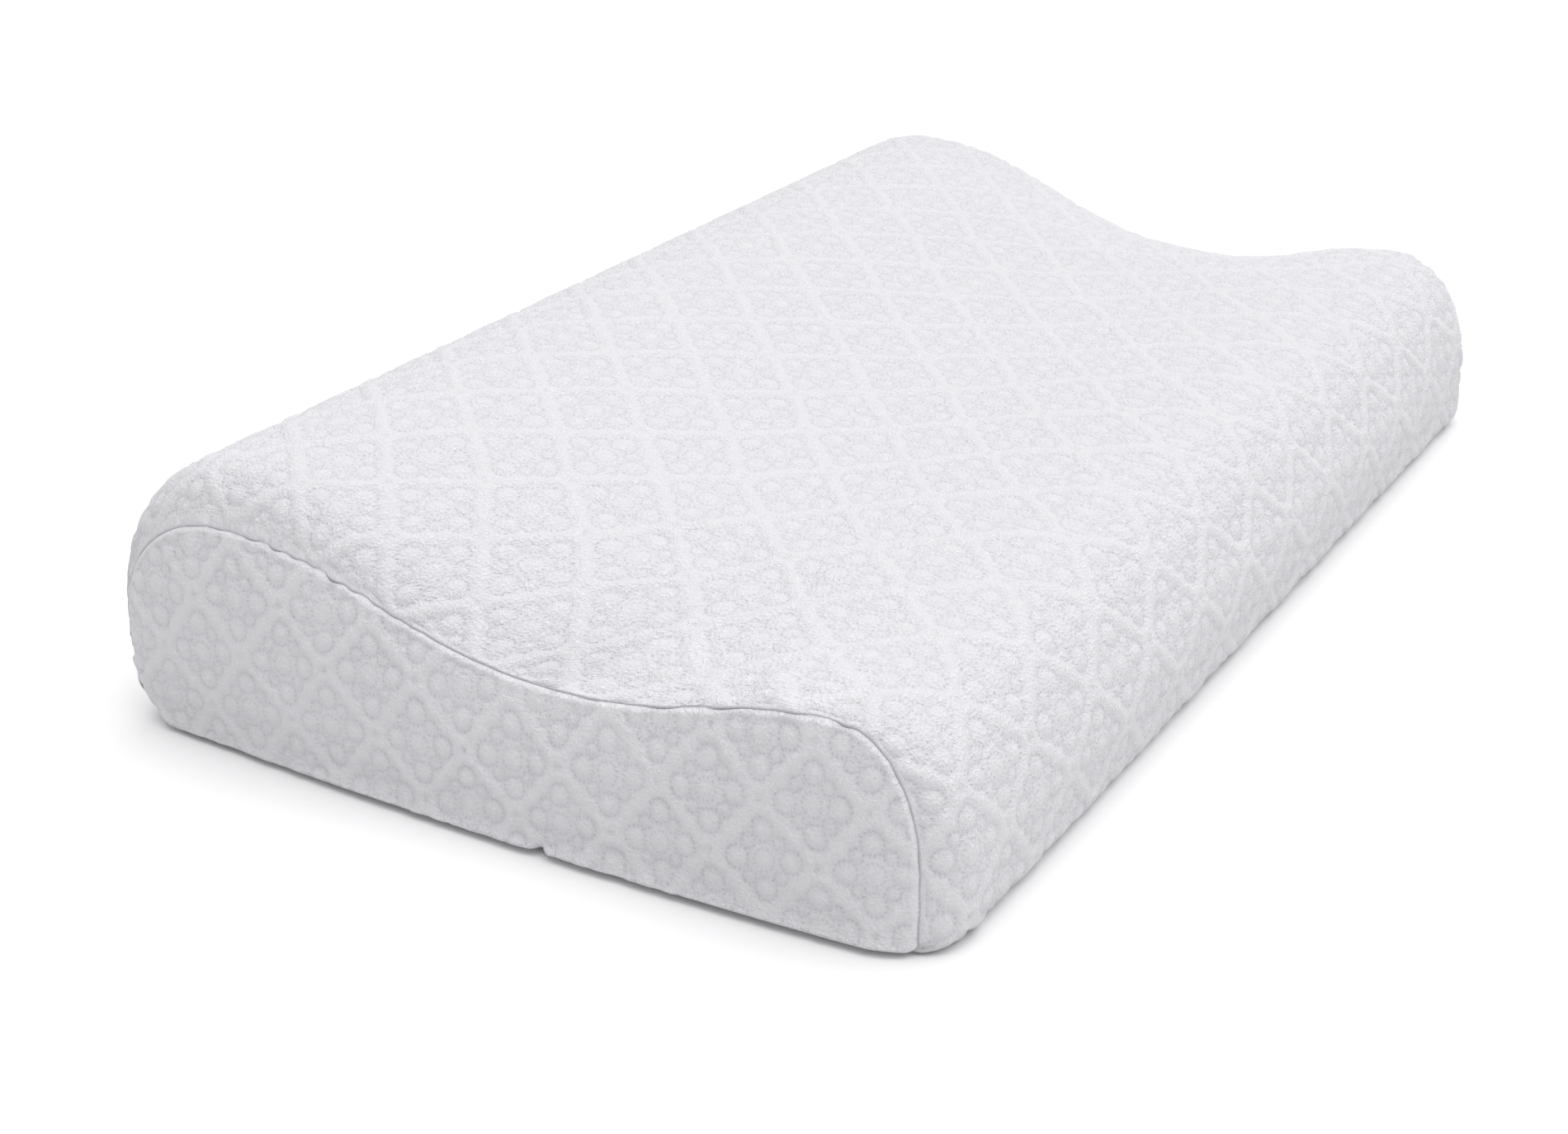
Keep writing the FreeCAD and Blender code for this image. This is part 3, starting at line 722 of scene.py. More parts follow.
def spaced_stations(spacing: float, base_y: Array | None = None) -> Stations:
    """Spread stations evenly round the middle outline.

    Args:
        spacing: Distance between two of them.
        base_y: Where the stations of the flat underside lie, or None for even ones.

    Returns:
        The stations.
    """
    poles = WAVE.poles(np.array([WAVE.seam_x]), np.array([0.0]), True)[0]
    curve, t = [], []
    fine = np.linspace(0, 1, 400)
    for number, four in enumerate(poles):
        run = run_along(curve_weights(fine) @ four)
        if number == 0 and base_y is not None:
            share = (base_y - four[0, 0]) / (four[3, 0] - four[0, 0])
        else:
            count = max(2, round(run[-1] / spacing))
            share = np.interp(np.arange(count) / count * run[-1], run, fine)
        curve.append(np.full(len(share), number))
        t.append(share)
    gap = 0.0
    if base_y is not None:
        gap = poles[0, 3, 0] - base_y[-1]
    return Stations(np.concatenate(curve), np.concatenate(t), base_y, gap)


def mirrored_steps(steps: list, spacing: float) -> Array:
    """Places along X from one seam plane to the other, close together near the seams.

    Args:
        steps: Distances in from the seam plane that must be there.
        spacing: Distance between the others.

    Returns:
        The places, from left to right.
    """
    inner = steps[-1]
    count = round((WAVE.seam_x - inner) / spacing) + 1
    half = np.concatenate([-WAVE.seam_x + np.array(steps), np.linspace(-WAVE.seam_x + inner, 0, count)[1:]])
    return np.concatenate([half, -half[:-1][::-1]])


# ---- soft shape

@dataclass(frozen=True)
class Puckers:
    """Small gathers of the cloth beside a sewn edge, from waves of fixed but uneven phase."""

    height: float
    reach: float
    waves: int = 9
    shortest: float = 11.0
    longest: float = 34.0
    seed: int = FABRIC_SEED

    def lift(self, along: Array, away: Array) -> Array:
        """Height of the gathers.

        Args:
            along: Distance along the seam.
            away: Distance from the seam.

        Returns:
            Height out of the cloth.
        """
        draw = np.random.default_rng(self.seed)
        total = 0.0 * along * away
        for _ in range(self.waves):
            length = draw.uniform(self.shortest, self.longest)
            phase, drift = draw.uniform(0, 2 * math.pi), draw.uniform(-0.25, 0.25)
            reach = self.reach * draw.uniform(0.6, 1.3)
            folds = np.cos(2 * math.pi * (along + drift * away) / length + phase)
            total = total + folds * np.exp(-away / reach)
        swell = 0.55 + 0.45 * np.cos(2 * math.pi * along / 171.0 + 0.8)
        return self.height * total / math.sqrt(self.waves) * swell


@dataclass(frozen=True)
class Inflation:
    """Cloth simulation that fills a coarse skin, whose seams and underside are held."""

    pressure: float = 4.0
    frames: int = 20
    cap: float = 4.0

    def swell(self, name: str, points: Array, faces: list, held: Array) -> Array:
        """Fill a coarse closed skin.

        Args:
            name: A name for the passing object.
            points: The skin's points in millimetres.
            faces: Its faces.
            held: True for the points that stay.

        Returns:
            How far each point moved, in millimetres, no further than the cap.
        """
        skin = build_object(name, points, faces)
        pins = skin.vertex_groups.new(name="held")
        pins.add([int(number) for number in np.flatnonzero(held)], 1.0, "REPLACE")
        cloth = skin.modifiers.new("fill", "CLOTH")
        settings = cloth.settings
        settings.vertex_group_mass = "held"
        settings.use_pressure = True
        settings.uniform_pressure_force = self.pressure
        settings.effector_weights.gravity = 0.0
        settings.quality = 6
        settings.mass = 0.3
        settings.tension_stiffness = 15.0
        settings.compression_stiffness = 12.0
        settings.shear_stiffness = 8.0
        settings.bending_stiffness = 1.5
        settings.air_damping = 2.0
        cloth.collision_settings.use_collision = False
        cloth.point_cache.frame_start = 1
        cloth.point_cache.frame_end = self.frames
        for number in range(1, self.frames + 1):
            bpy.context.scene.frame_set(number)
        filled = skin.evaluated_get(bpy.context.evaluated_depsgraph_get())
        after = np.empty(len(filled.data.vertices) * 3, dtype=np.float32)
        filled.data.vertices.foreach_get("co", after)
        moved = after.reshape(-1, 3) / MM - points
        bpy.data.objects.remove(skin)
        bpy.context.scene.frame_set(1)
        length = np.linalg.norm(moved, axis=1, keepdims=True)
        return moved * np.minimum(1.0, self.cap / np.maximum(length, 1e-9))


@dataclass
class ZipRecess:
    """The recess of the underside that the zip lies in, and the slit where the two edges meet."""

    half_width: float = 17.0
    end_x: float = 260.0
    depth: float = 5.0
    ramp: float = 2.6
    window_half: float = 6.0
    window_x: float = 232.4
    spare: float = 0.12
    slit_depth: float = 2.2
    slit_width: float = 1.0
    slit_ramp: float = 4.0

    def rise(self, x: Array, y: Array, margin: float) -> Array:
        """Height that the underside is pressed up by.

        Args:
            x: Places along the pillow.
            y: Places across it.
            margin: How much wider the recess is on every side.

        Returns:
            The rise at each place.
        """
        across = smooth_step(0.5 + (self.half_width + margin - np.abs(y - ZIP_Y)) / self.ramp)
        along = smooth_step(0.5 + (self.end_x + margin - np.abs(x)) / self.ramp)
        return self.depth * across * along

    def slit(self, x: Array, y: Array) -> Array:
        """Depth of the slit beyond the ends of the window."""
        beyond = smooth_step((np.abs(x) - self.window_x) / self.slit_ramp)
        return self.slit_depth * beyond * np.exp(-((y - ZIP_Y) / self.slit_width) ** 2)

    def lines(self) -> list:
        """Places across the pillow where the underside needs points."""
        places = [ZIP_Y + side * (self.half_width + step)
                  for side in (-1, 1) for step in (-2.2, -1.3, -0.6, 0.0, 0.6, 1.3, 2.2)]
        places += [ZIP_Y + side * (self.window_half + step)
                   for side in (-1, 1) for step in (0.0, 0.9, 2.0)]
        places += [ZIP_Y + step for step in (-3.0, -1.7, -1.0, -0.5, 0.0, 0.5, 1.0, 1.7, 3.0)]
        places += [ZIP_Y + side * step for side in (-1, 1) for step in (10.0, 12.2)]
        return places


RECESS = ZipRecess()


def underside_lines(spacing: float) -> Array:
    """Places across the flat underside, closer together at the zip.

    Args:
        spacing: Distance between the others.

    Returns:
        The places, front to back.
    """
    first, last = WAVE.front_foot - WAVE.depth / 2, WAVE.depth / 2 - WAVE.back_foot
    zip_lines = sorted(RECESS.lines())
    before = np.linspace(first, zip_lines[0], round((zip_lines[0] - first) / spacing) + 1)[:-1]
    after = np.linspace(zip_lines[-1], last, round((last - zip_lines[-1]) / spacing) + 1)[1:-1]
    return np.concatenate([before, zip_lines, after])


def uneven(i: Array, j: Array) -> tuple:
    """Shift lattice coordinates a little, as a knitted pattern does when it relaxes.

    Args:
        i: First coordinates.
        j: Second coordinates.

    Returns:
        Both, shifted by waves of fixed but uneven phase.
    """
    draw = np.random.default_rng(FABRIC_SEED + 1)
    shifts = []
    for _ in range(2):
        shift = 0.0 * (i + j)
        for _ in range(6):
            rate = draw.uniform(1.2, 6.0, 2)
            phase = draw.uniform(0, 2 * math.pi)
            shift = shift + np.cos(rate[0] * i * draw.choice([-1, 1]) + rate[1] * j + phase)
        shifts.append(UNEVEN_SHARE * shift)
    return i + shifts[0], j + shifts[1]


@dataclass
class CoverLattice:
    """Where the motif's cells lie on the wrap panel. Millimetres of cloth."""

    along: float = 50.8
    round: float = 47.4
    along_start: float = 14.8
    round_start: float = 64.8
    bow: float = 0.0001
    front_slope: float = -0.08
    top_slope: float = 0.06
    turn_start: float = 60.0
    turn_run: float = 110.0
    draw: float = 12.0
    draw_middle: tuple = (310.0, 235.0)
    draw_reach: tuple = (250.0, 85.0)

    def cells(self, along: Array, up: Array) -> tuple:
        """Lattice coordinates, with the slight bow and draw of cloth pulled over the wave.

        Args:
            along: Distances along the pillow from the left seam.
            up: Distances round it from the front bottom.

        Returns:
            Both lattice coordinates at each place.
        """
        turned = smooth_step((up - self.turn_start) / self.turn_run)
        slope = self.front_slope + (self.top_slope - self.front_slope) * turned
        shift = slope * along + self.bow * (1.0 - 2.0 * turned) * along ** 2
        beside = np.clip((along - self.draw_middle[0]) / self.draw_reach[0], -1.0, 1.0)
        above = (up - self.draw_middle[1]) / self.draw_reach[1]
        drawn = self.draw * (1.0 - beside ** 2) ** 2 * np.exp(-above ** 2)
        a = (along - drawn - self.along_start) / self.along
        b = (up - shift - self.round_start) / self.round
        return uneven(a + b, a - b)


@dataclass
class EndLattice:
    """Where the motif's cells lie on an end panel. Millimetres from its front and up."""

    corner: tuple = (234.0, 29.3)
    first: tuple = (-18.3, 25.0)
    second: tuple = (-22.5, -20.3)

    def cells(self, across: Array, up: Array) -> tuple:
        """Lattice coordinates from distances across the panel and up it."""
        turn = np.linalg.inv(np.array([self.first, self.second]).T)
        dy, dz = across - self.corner[0], up - self.corner[1]
        return uneven(turn[0, 0] * dy + turn[0, 1] * dz, turn[1, 0] * dy + turn[1, 1] * dz)


def dress(thing: Thing, material: Finishing, slot: Slot,
          *nodes: str) -> Thing:
    """Give a finished piece its material, attach it to the pillow's body and hide the CAD nodes that it
    replaces.

    Args:
        thing: The piece.
        material: Its finish.
        slot: Not used.
        nodes: CAD nodes that it replaces.

    Returns:
        The piece.
    """
    thing.data.materials.clear()
    thing.data.materials.append(material)
    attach(thing, "pillow")
    if nodes:
        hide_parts(*nodes)
    return thing


# ---- cover

@dataclass
class WrapPanel:
    """The cover's long panel: a skin on the wave, filled, gathered at its ends and quilted."""

    spacing: float = 1.5
    base_spacing: float = 2.6
    thickness: float = 3.0
    under_size: float = 1.6
    edge_steps: tuple = (0.0, 0.45, 0.9, 1.5, 2.3, 3.4)
    edge_inset: float = 1.0
    edge_reach: float = 0.022
    lowest: float = -0.6
    highest: float = 1.6
    inner_step: int = 7
    fold_height: float = 2.2
    lattice: CoverLattice = field(default_factory=CoverLattice)
    gathers: Puckers = field(default_factory=lambda: Puckers(height=0.75, reach=17.0))
    inflation: Inflation = field(default_factory=lambda: Inflation(cap=5.0))

    def simulate(self) -> tuple:
        """Fill a coarse skin.

        Returns:
            Its places along X, the sweep round it, and how far its points moved outwards.
        """
        x = np.linspace(-WAVE.seam_x, WAVE.seam_x, 74)
        stations = spaced_stations(9.0)
        distance = WAVE.seam_x - np.abs(x)
        outline = WAVE.outline(distance, stations, self.under_size * smooth_step(distance / 20.0))
        rows, columns = outline.shape[:2]
        grid = along_x(x, outline)
        points = grid.reshape(-1, 3)
        caps = np.array([points[:columns].mean(axis=0), points[-columns:].mean(axis=0)])
        quads = grid_quads(rows, columns, True).reshape(-1, 4)
        ring, following = ring_pair(columns)
        last, count = (rows - 1) * columns, rows * columns
        left = np.stack([following, ring, np.full(columns, count)], axis=1)
        right = np.stack([last + ring, last + following, np.full(columns, count + 1)], axis=1)
        every = np.concatenate([points, caps])
        held = np.zeros(len(every), dtype=bool)
        held[:columns] = held[last:] = True
        held[:count] |= np.tile(stations.curve == 0, rows)
        moved = self.inflation.swell("wrap_fill", every, [quads, left, right], held)[:count]
        out = (moved.reshape(rows, columns, 3) * self.normals(grid)).sum(axis=2)
        return x, self.sweep_of(stations), out

    @staticmethod
    def sweep_of(stations: Stations) -> Array:
        """Return how far round the middle outline each station lies, in millimetres."""
        middle = WAVE.outline(np.array([WAVE.seam_x]), stations)[0]
        steps = np.hypot(*(np.roll(middle, -1, axis=0) - middle).T)
        return np.concatenate(([0.0], np.cumsum(steps)[:-1]))

    def swelling(self, x: Array, sweep: Array) -> Array:
        """Outward swelling at the fine skin's points.

        Args:
            x: Places along X.
            sweep: Places round the outline.

        Returns:
            Millimetres out from the wave, by place along X and round it.
        """
        coarse_x, coarse_sweep, out = self.simulate()
        if not np.any(out):
            return np.zeros((len(x), len(sweep)))
        out = out - self.under_size
        total = 2 * coarse_sweep[-1] - coarse_sweep[-2]
        wide_sweep = np.concatenate([coarse_sweep, [total]])
        wide = np.concatenate([out, out[:, :1]], axis=1)
        return np.clip(refined(wide, coarse_x, wide_sweep, x, sweep), self.lowest, self.highest)

    def roll_steps(self) -> list:
        """Distances in from the seam plane, spaced evenly over the curve of the roll."""
        quarter = WAVE.roll * math.pi / 2
        count = round((quarter - self.edge_steps[-1]) / self.spacing)
        run = list(self.edge_steps) + list(np.linspace(self.edge_steps[-1], quarter, count + 1)[1:])
        return [WAVE.roll * (1.0 - math.cos(step / WAVE.roll)) for step in run]

    @staticmethod
    def seam_run(skin: Array) -> tuple:
        """Measure the cloth from its sewn ends.

        Args:
            skin: Points of the smooth skin, by place along X and round it.

        Returns:
            The cloth's length from the nearer end seam to each point, and a length along the pillow
            that follows the cloth over the rolls at both ends.
        """
        steps = np.linalg.norm(np.diff(skin, axis=0), axis=2)
        run = np.concatenate([np.zeros((1, skin.shape[1])), np.cumsum(steps, axis=0)])
        near = np.minimum(run, run[-1:] - run)
        distance = WAVE.seam_x - np.abs(skin[:, :, 0])
        row = int(np.abs(distance[:len(skin) // 2, 0] - WAVE.roll).argmin())
        spare = (near - distance) - (near[row] - distance[row])[None, :]
        spare = np.where(distance < WAVE.roll, spare, 0.0)
        return near, skin[:, :, 0] + WAVE.seam_x + np.where(skin[:, :, 0] < 0, spare, -spare)

    def skin(self, x: Array, stations: Stations, inset: float) -> Array:
        """Points of the smooth skin.

        Args:
            x: Places along X.
            stations: Places round the outline.
            inset: How far it is taken in.

        Returns:
            An array of places along X, stations, and x, y and z.
        """
        distance = WAVE.seam_x - np.abs(x)
        turned_in = self.edge_inset * np.exp(-distance / self.edge_reach)
        outline = WAVE.outline(distance, stations, inset + turned_in)
        return along_x(x, outline)

    def build(self, material: Finishing) -> Thing:
        """Build the panel.

        Args:
            material: The quilted knit.

        Returns:
            The finished piece.
        """
        stations = spaced_stations(self.spacing, underside_lines(self.base_spacing))
        x = mirrored_steps(self.roll_steps(), self.spacing)
        for mark in (-RECESS.window_x, RECESS.window_x):
            x[np.abs(x - mark).argmin()] = mark
        sweep = self.sweep_of(stations)
        base = stations.curve == 0
        skin = self.skin(x, stations, 0.0)
        up = sweep[-1] - sweep
        distance, along = self.seam_run(skin)
        on_top = smooth_step((skin[:, :, 2] - 2.0) / 10.0)
        out = self.swelling(x, sweep) * smooth_step(distance / 9.0) * on_top
        side = np.where(x < 0, 0.0, 400.0)[:, None]
        out = out + self.gathers.lift(up[None, :] + side, distance) * on_top
        out = np.maximum(out + self.corner_fold(x[:, None], up[None, :]), self.lowest)
        normal = self.normals(skin)
        skin = skin + normal * out[:, :, None]
        rise = RECESS.rise(x[:, None], skin[:, :, 1], 0.0) * (1.0 + RECESS.spare / RECESS.depth)
        rise = rise + RECESS.slit(x[:, None], skin[:, :, 1])
        skin[:, :, 2] += rise * base
        skin[:, :, 2] = np.maximum(skin[:, :, 2], 0.0)
        inner_rows = self.inner_rows(x)
        inner_x = x[inner_rows]
        inner = self.skin(inner_x, stations, self.thickness)
        inner[:, :, 2] += RECESS.rise(inner_x[:, None], inner[:, :, 1], self.thickness) * base
        points = np.concatenate([skin.reshape(-1, 3), inner.reshape(-1, 3)])
        faces = self.faces(x, stations, inner_rows)
        weight = smooth_step((distance - 0.5) / 1.8) * np.where(base, 0.5, 1.0)[None, :]
        near_zip = smooth_step((np.abs(skin[:, :, 1] - ZIP_Y) - RECESS.half_width - 1.0) / 3.0)
        weight = weight * np.where(base[None, :], near_zip, 1.0)
        i, j = self.lattice.cells(along, up[None, :])
        motif = np.stack([i, j, weight], axis=-1).reshape(-1, 3)
        # Painted shade along the seam groove, kept in the cloth attribute's third number.
        painted_seam_shade = np.exp(-(distance / SEAM_SHADE_REACH) ** 2)
        cloth = np.stack([along, up[None, :] + 0 * along, painted_seam_shade], axis=-1).reshape(-1, 3)
        inside = np.zeros((len(inner_x) * len(up), 3))
        inner_cloth = np.stack([inner_x[:, None] + 0 * up, up[None, :] + 0 * inner_x[:, None],
                                0 * up + 0 * inner_x[:, None]], axis=-1).reshape(-1, 3)
        raw = build_object("wrap_skin", points, faces,
                           {"motif": np.concatenate([motif, inside]),
                            "cloth": np.concatenate([cloth, inner_cloth])})
        piece = grown(raw, Quilting().tree(), {"Cloth": material}, "cover_wrap")
        dress(piece, material, Slot.COVER, "wrap_panel")
        return piece

    def corner_fold(self, x: Array, up: Array) -> Array:
        """Soft fold that runs from the left end seam over the low lobe.

        Args:
            x: Places along X.
            up: Distances round the outline from the front bottom.

        Returns:
            Its height.
        """
        away = x + WAVE.seam_x
        ridge = 131.0 + 0.45 * away
        over = up - ridge
        profile = np.exp(-(over / 5.0) ** 2) - 0.6 * np.exp(-((over + 9.0) / 4.5) ** 2)
        return self.fold_height * profile * smooth_step(away / 4.0) * np.exp(-(away / 24.0) ** 2)

    @staticmethod
    def normals(grid: Array) -> Array:
        """Outward directions at the points of a closed grid."""
        round_way = np.roll(grid, -1, axis=1) - np.roll(grid, 1, axis=1)
        along_way = np.gradient(grid, axis=0)
        normal = np.cross(round_way, along_way)
        return normal / np.maximum(np.linalg.norm(normal, axis=2, keepdims=True), 1e-9)

    def inner_rows(self, x: Array) -> Array:
        """Rows of the fine skin that the coarser inner skin shares."""
        rows = set(range(0, len(x), self.inner_step)) | {0, len(x) - 1}
        rows |= {int(np.abs(x - mark).argmin()) for mark in (-RECESS.window_x, RECESS.window_x)}
        return np.array(sorted(rows))

    def faces(self, x: Array, stations: Stations, inner_rows: Array) -> list:
        """Faces of the outer and inner skins, the two ends and the edges of the zip's window.

        Args:
            x: Places along X.
            stations: Places round the outline.
            inner_rows: Rows of the outer skin that the inner one shares.

        Returns:
            Blocks of faces.
        """
        columns = len(stations.t)
        inner_start = len(x) * columns
        low = int(np.abs(stations.base_y - (ZIP_Y - RECESS.window_half)).argmin())
        high = int(np.abs(stations.base_y - (ZIP_Y + RECESS.window_half)).argmin())
        marks = (-RECESS.window_x, RECESS.window_x)
        first, last = (int(np.abs(x - mark).argmin()) for mark in marks)
        inner_first, inner_last = (int(np.searchsorted(inner_rows, row)) for row in (first, last))
        outer = grid_quads(len(x), columns, True)
        inner = grid_quads(len(inner_rows), columns, True, inner_start)[..., ::-1]
        keep = np.ones(outer.shape[:2], dtype=bool)
        keep[first:last, low:high] = False
        keep_inner = np.ones(inner.shape[:2], dtype=bool)
        keep_inner[inner_first:inner_last, low:high] = False
        blocks = [outer[keep], inner[keep_inner]]
        ring, following = ring_pair(columns)

        def wall(row: int, inner_row: int, part: slice, facing: int) -> Array:
            """Return the faces between a row of the outer skin and one of the inner skin."""
            a, b = row * columns + ring[part], row * columns + following[part]
            c = inner_start + inner_row * columns + following[part]
            d = inner_start + inner_row * columns + ring[part]
            quads = np.stack([a, b, c, d], axis=1)
            return quads if facing > 0 else quads[:, ::-1]

        blocks.append(wall(0, 0, slice(None), -1))
        blocks.append(wall(len(x) - 1, len(inner_rows) - 1, slice(None), 1))
        blocks.append(wall(first, inner_first, slice(low, high), 1))
        blocks.append(wall(last, inner_last, slice(low, high), -1))
        for column, facing in ((low, -1), (high, 1)):
            for k in range(inner_first, inner_last):
                outer_rows = range(inner_rows[k], inner_rows[k + 1] + 1)
                chain = [row * columns + column for row in outer_rows]
                chain += [inner_start + row * columns + column for row in (k + 1, k)]
                blocks.append([chain if facing > 0 else chain[::-1]])
        return blocks


@dataclass
class EndPanel:
    """One shaped end of the cover, crowned and quilted."""

    end: Lobe
    crown: float = 6.0
    crown_run: float = 22.0
    foot_run: float = 2.6
    foot_top: float = 6.0
    bag: float = 8.5
    bag_height: float = 24.0
    bag_middle: float = -35.0
    bag_half: float = 175.0
    groove: float = 0.9
    groove_reach: float = 0.5
    spacing: float = 1.5
    edge_spacing: float = 0.6
    edge_steps: tuple = (0.0, 0.05, 0.15, 0.35, 0.8, 1.4, 2.3, 3.3)
    width: float = 360.0
    height: float = 84.0
    thickness: float = 2.4
    edge_inset: float = 0.25
    notch_depth: float = 6.0
    lattice: EndLattice = field(default_factory=EndLattice)
    gathers: Puckers = field(
        default_factory=lambda: Puckers(height=0.28, reach=9.0, seed=FABRIC_SEED + 4))
    inflation: Inflation = field(default_factory=lambda: Inflation(cap=3.0))

    def edge(self, inset: float) -> tuple:
        """Trace the end seam's outline, from the middle of the front foot and round.

        Args:
            inset: How far it is taken in.

        Returns:
            Its dense points, and the numbers of those in the middle of the back foot, the high
            lobe's back and the low lobe's front.
        """
        stations = spaced_stations(self.edge_spacing)
        outline = WAVE.outline(np.array([0.0]), stations, inset)[0]
        start, *turns = (int(np.flatnonzero((stations.curve == curve) & (stations.t >= 0.5))[0])
                         for curve in (8, 1, 3, 6))
        return np.roll(outline, -start, axis=0), [(turn - start) % len(outline) for turn in turns]

    def grid(self, across: Array, up: Array, inset: float) -> Array:
        """Points spread over the panel between its four sides.

        Args:
            across: Shares of the way from front to back.
            up: Shares of the way from bottom to top.
            inset: How far the edge is taken in.

        Returns:
            An array by up and across of y and z.
        """
        edge, turns = self.edge(inset)
        closed = np.concatenate([edge, edge[:1]])
        run = run_along(closed)
        marks = [0.0] + [run[turn] for turn in turns] + [run[-1]]

        def side(start: float, stop: float, share: Array) -> Array:
            """Return points of the edge at shares of the way between two marks."""
            at = start + (stop - start) * share
            return np.stack([np.interp(at, run, closed[:, 0]), np.interp(at, run, closed[:, 1])], axis=-1)

        bottom, top = side(marks[0], marks[1], across), side(marks[3], marks[2], across)
        front, back = side(marks[4], marks[3], up), side(marks[1], marks[2], up)
        a, b = across[None, :, None], up[:, None, None]
        corners = ((1 - a) * (1 - b) * bottom[0] + a * (1 - b) * bottom[-1]
                   + (1 - a) * b * top[0] + a * b * top[-1])
        return ((1 - b) * bottom[None] + b * top[None] + (1 - a) * front[:, None]
                + a * back[:, None] - corners)

    @staticmethod
    def nearest_edge(places: Array, edge: Array) -> tuple:
        """Distance from each place to the edge, and how far round the edge that is."""
        flat = places.reshape(-1, 2)
        away, along = np.empty(len(flat)), np.empty(len(flat))
        run = run_along(edge)
        for start in range(0, len(flat), 4000):
            part = flat[start:start + 4000]
            gap = np.hypot(part[:, None, 0] - edge[None, :, 0], part[:, None, 1] - edge[None, :, 1])
            best = gap.argmin(axis=1)
            away[start:start + 4000] = gap[np.arange(len(part)), best]
            along[start:start + 4000] = run[best]
        return away.reshape(places.shape[:2]), along.reshape(places.shape[:2])

    def rise(self, places: Array) -> Array:
        """Bulge of the panel beyond the seam plane.

        The panel swells slowly from its front, top and back edges, and sharply from its foot, where the
        pillow's weight rolls it under.

        Args:
            places: Grid of y and z.

        Returns:
            Millimetres outwards at each place.
        """
        edge, _ = self.edge(0.0)
        away, _ = self.nearest_edge(places, edge)
        open_side, _ = self.nearest_edge(places, edge[edge[:, 1] > self.foot_top])
        beside = np.clip((places[:, :, 0] - self.bag_middle) / self.bag_half, -1.0, 1.0)
        height = places[:, :, 1]
        full = self.crown + self.bag * (1.0 - beside ** 2) * np.exp(-height / self.bag_height)
        total = full - self.groove * np.exp(-(away / self.groove_reach) ** 2)
        foot = np.minimum(away, height)
        for gap, run in ((open_side, self.crown_run), (foot, self.foot_run)):
            share = np.clip(gap / run, 0.0, 1.0)
            total = total - full * (1 - (1 - (1 - share) ** 2.2) ** 0.62)
        return np.maximum(total, -self.groove)

    def swelling(self, places: Array) -> Array:
        """Fill a coarse copy of the panel and read its swelling at the fine places.

        Args:
            places: Fine grid of y and z, by up and across.

        Returns:
            Millimetres outwards at each fine place.
        """
        across, up = np.linspace(0, 1, 46), np.linspace(0, 1, 13)
        flat = self.grid(across, up, 0.6)
        full = self.rise(flat)
        start = full * 0.75
        rows, columns = flat.shape[:2]
        front = np.concatenate([start.reshape(-1, 1), flat.reshape(-1, 2)], axis=1)
        rim = np.zeros((rows, columns), dtype=bool)
        rim[[0, -1]] = rim[:, [0, -1]] = True
        middle = np.array([[-4.0, front[:, 1].mean(), 30.0]])
        ring = rim_ring(rows, columns)
        centre = rows * columns
        fan = np.stack([np.roll(ring, -1), ring, np.full(len(ring), centre)], axis=1)
        every = np.concatenate([front, middle])
        held = np.concatenate([rim.ravel(), [True]])
        faces = [grid_quads(rows, columns, False).reshape(-1, 4), fan]
        moved = self.inflation.swell("end_fill", every, faces, held)[:centre, 0].reshape(rows, columns)
        lift = moved + start - full
        if not np.any(moved):
            lift = moved
        fine_up, fine_across = (np.linspace(0, 1, count) for count in places.shape[:2])
        return np.clip(refined(lift, up, across, fine_up, fine_across), -1.0, 1.2)

    def build(self, material: Finishing) -> Thing:
        """Build the panel.

        Args:
            material: The quilted knit.

        Returns:
            The finished piece.
        """
        across, up = self.shares(self.width), self.shares(self.height)
        places = self.grid(across, up, self.edge_inset)
        away, along = self.nearest_edge(places, self.edge(0.0)[0])
        bulge = self.rise(places) + self.swelling(places) * smooth_step(away / 5.0)
        bulge += self.gathers.lift(along, away) * smooth_step(away / 1.5)
        notch = self.notch(places)
        bulge = bulge - notch
        side = self.end.value
        rows, columns = places.shape[:2]
        outer = np.concatenate([side * (WAVE.seam_x + bulge)[:, :, None], places], axis=2)
        inner = outer.copy()
        inside_bulge = np.minimum(bulge - 0.2, np.maximum(bulge - self.thickness, -0.55))
        inner[:, :, 0] = side * (WAVE.seam_x + inside_bulge)
        points = np.concatenate([outer.reshape(-1, 3), inner.reshape(-1, 3)])
        faces = pad_faces(rows, columns)
        if side < 0:
            faces = [block[:, ::-1] for block in faces]
        from_front = places[:, :, 0] + WAVE.depth / 2
        i, j = self.lattice.cells(from_front, places[:, :, 1])
        weight = smooth_step((away - 0.8) / 3.0)
        motif = np.stack([i, j, weight], axis=-1).reshape(-1, 3)
        # Painted shade in the seam groove and in the tuck at the foot, kept in the cloth attribute's third
        # number.
        run = np.hypot(away, bulge + self.groove)
        painted_notch_shade = np.clip(notch / 4.0 - 0.5, 0.0, 1.0)
        painted_seam_shade = np.maximum(np.exp(-(run / SEAM_SHADE_REACH) ** 2), painted_notch_shade)
        cloth = np.stack([from_front, places[:, :, 1], painted_seam_shade], axis=-1).reshape(-1, 3)
        raw = build_object("end_skin", points, faces,
                           {"motif": np.concatenate([motif, np.zeros_like(motif)]),
                            "cloth": np.concatenate([cloth, cloth])})
        name = self.end.name.lower()
        piece = grown(raw, Quilting().tree(), {"Cloth": material}, "cover_end_" + name)
        dress(piece, material, Slot.COVER, "end_panel_" + name)
        return piece

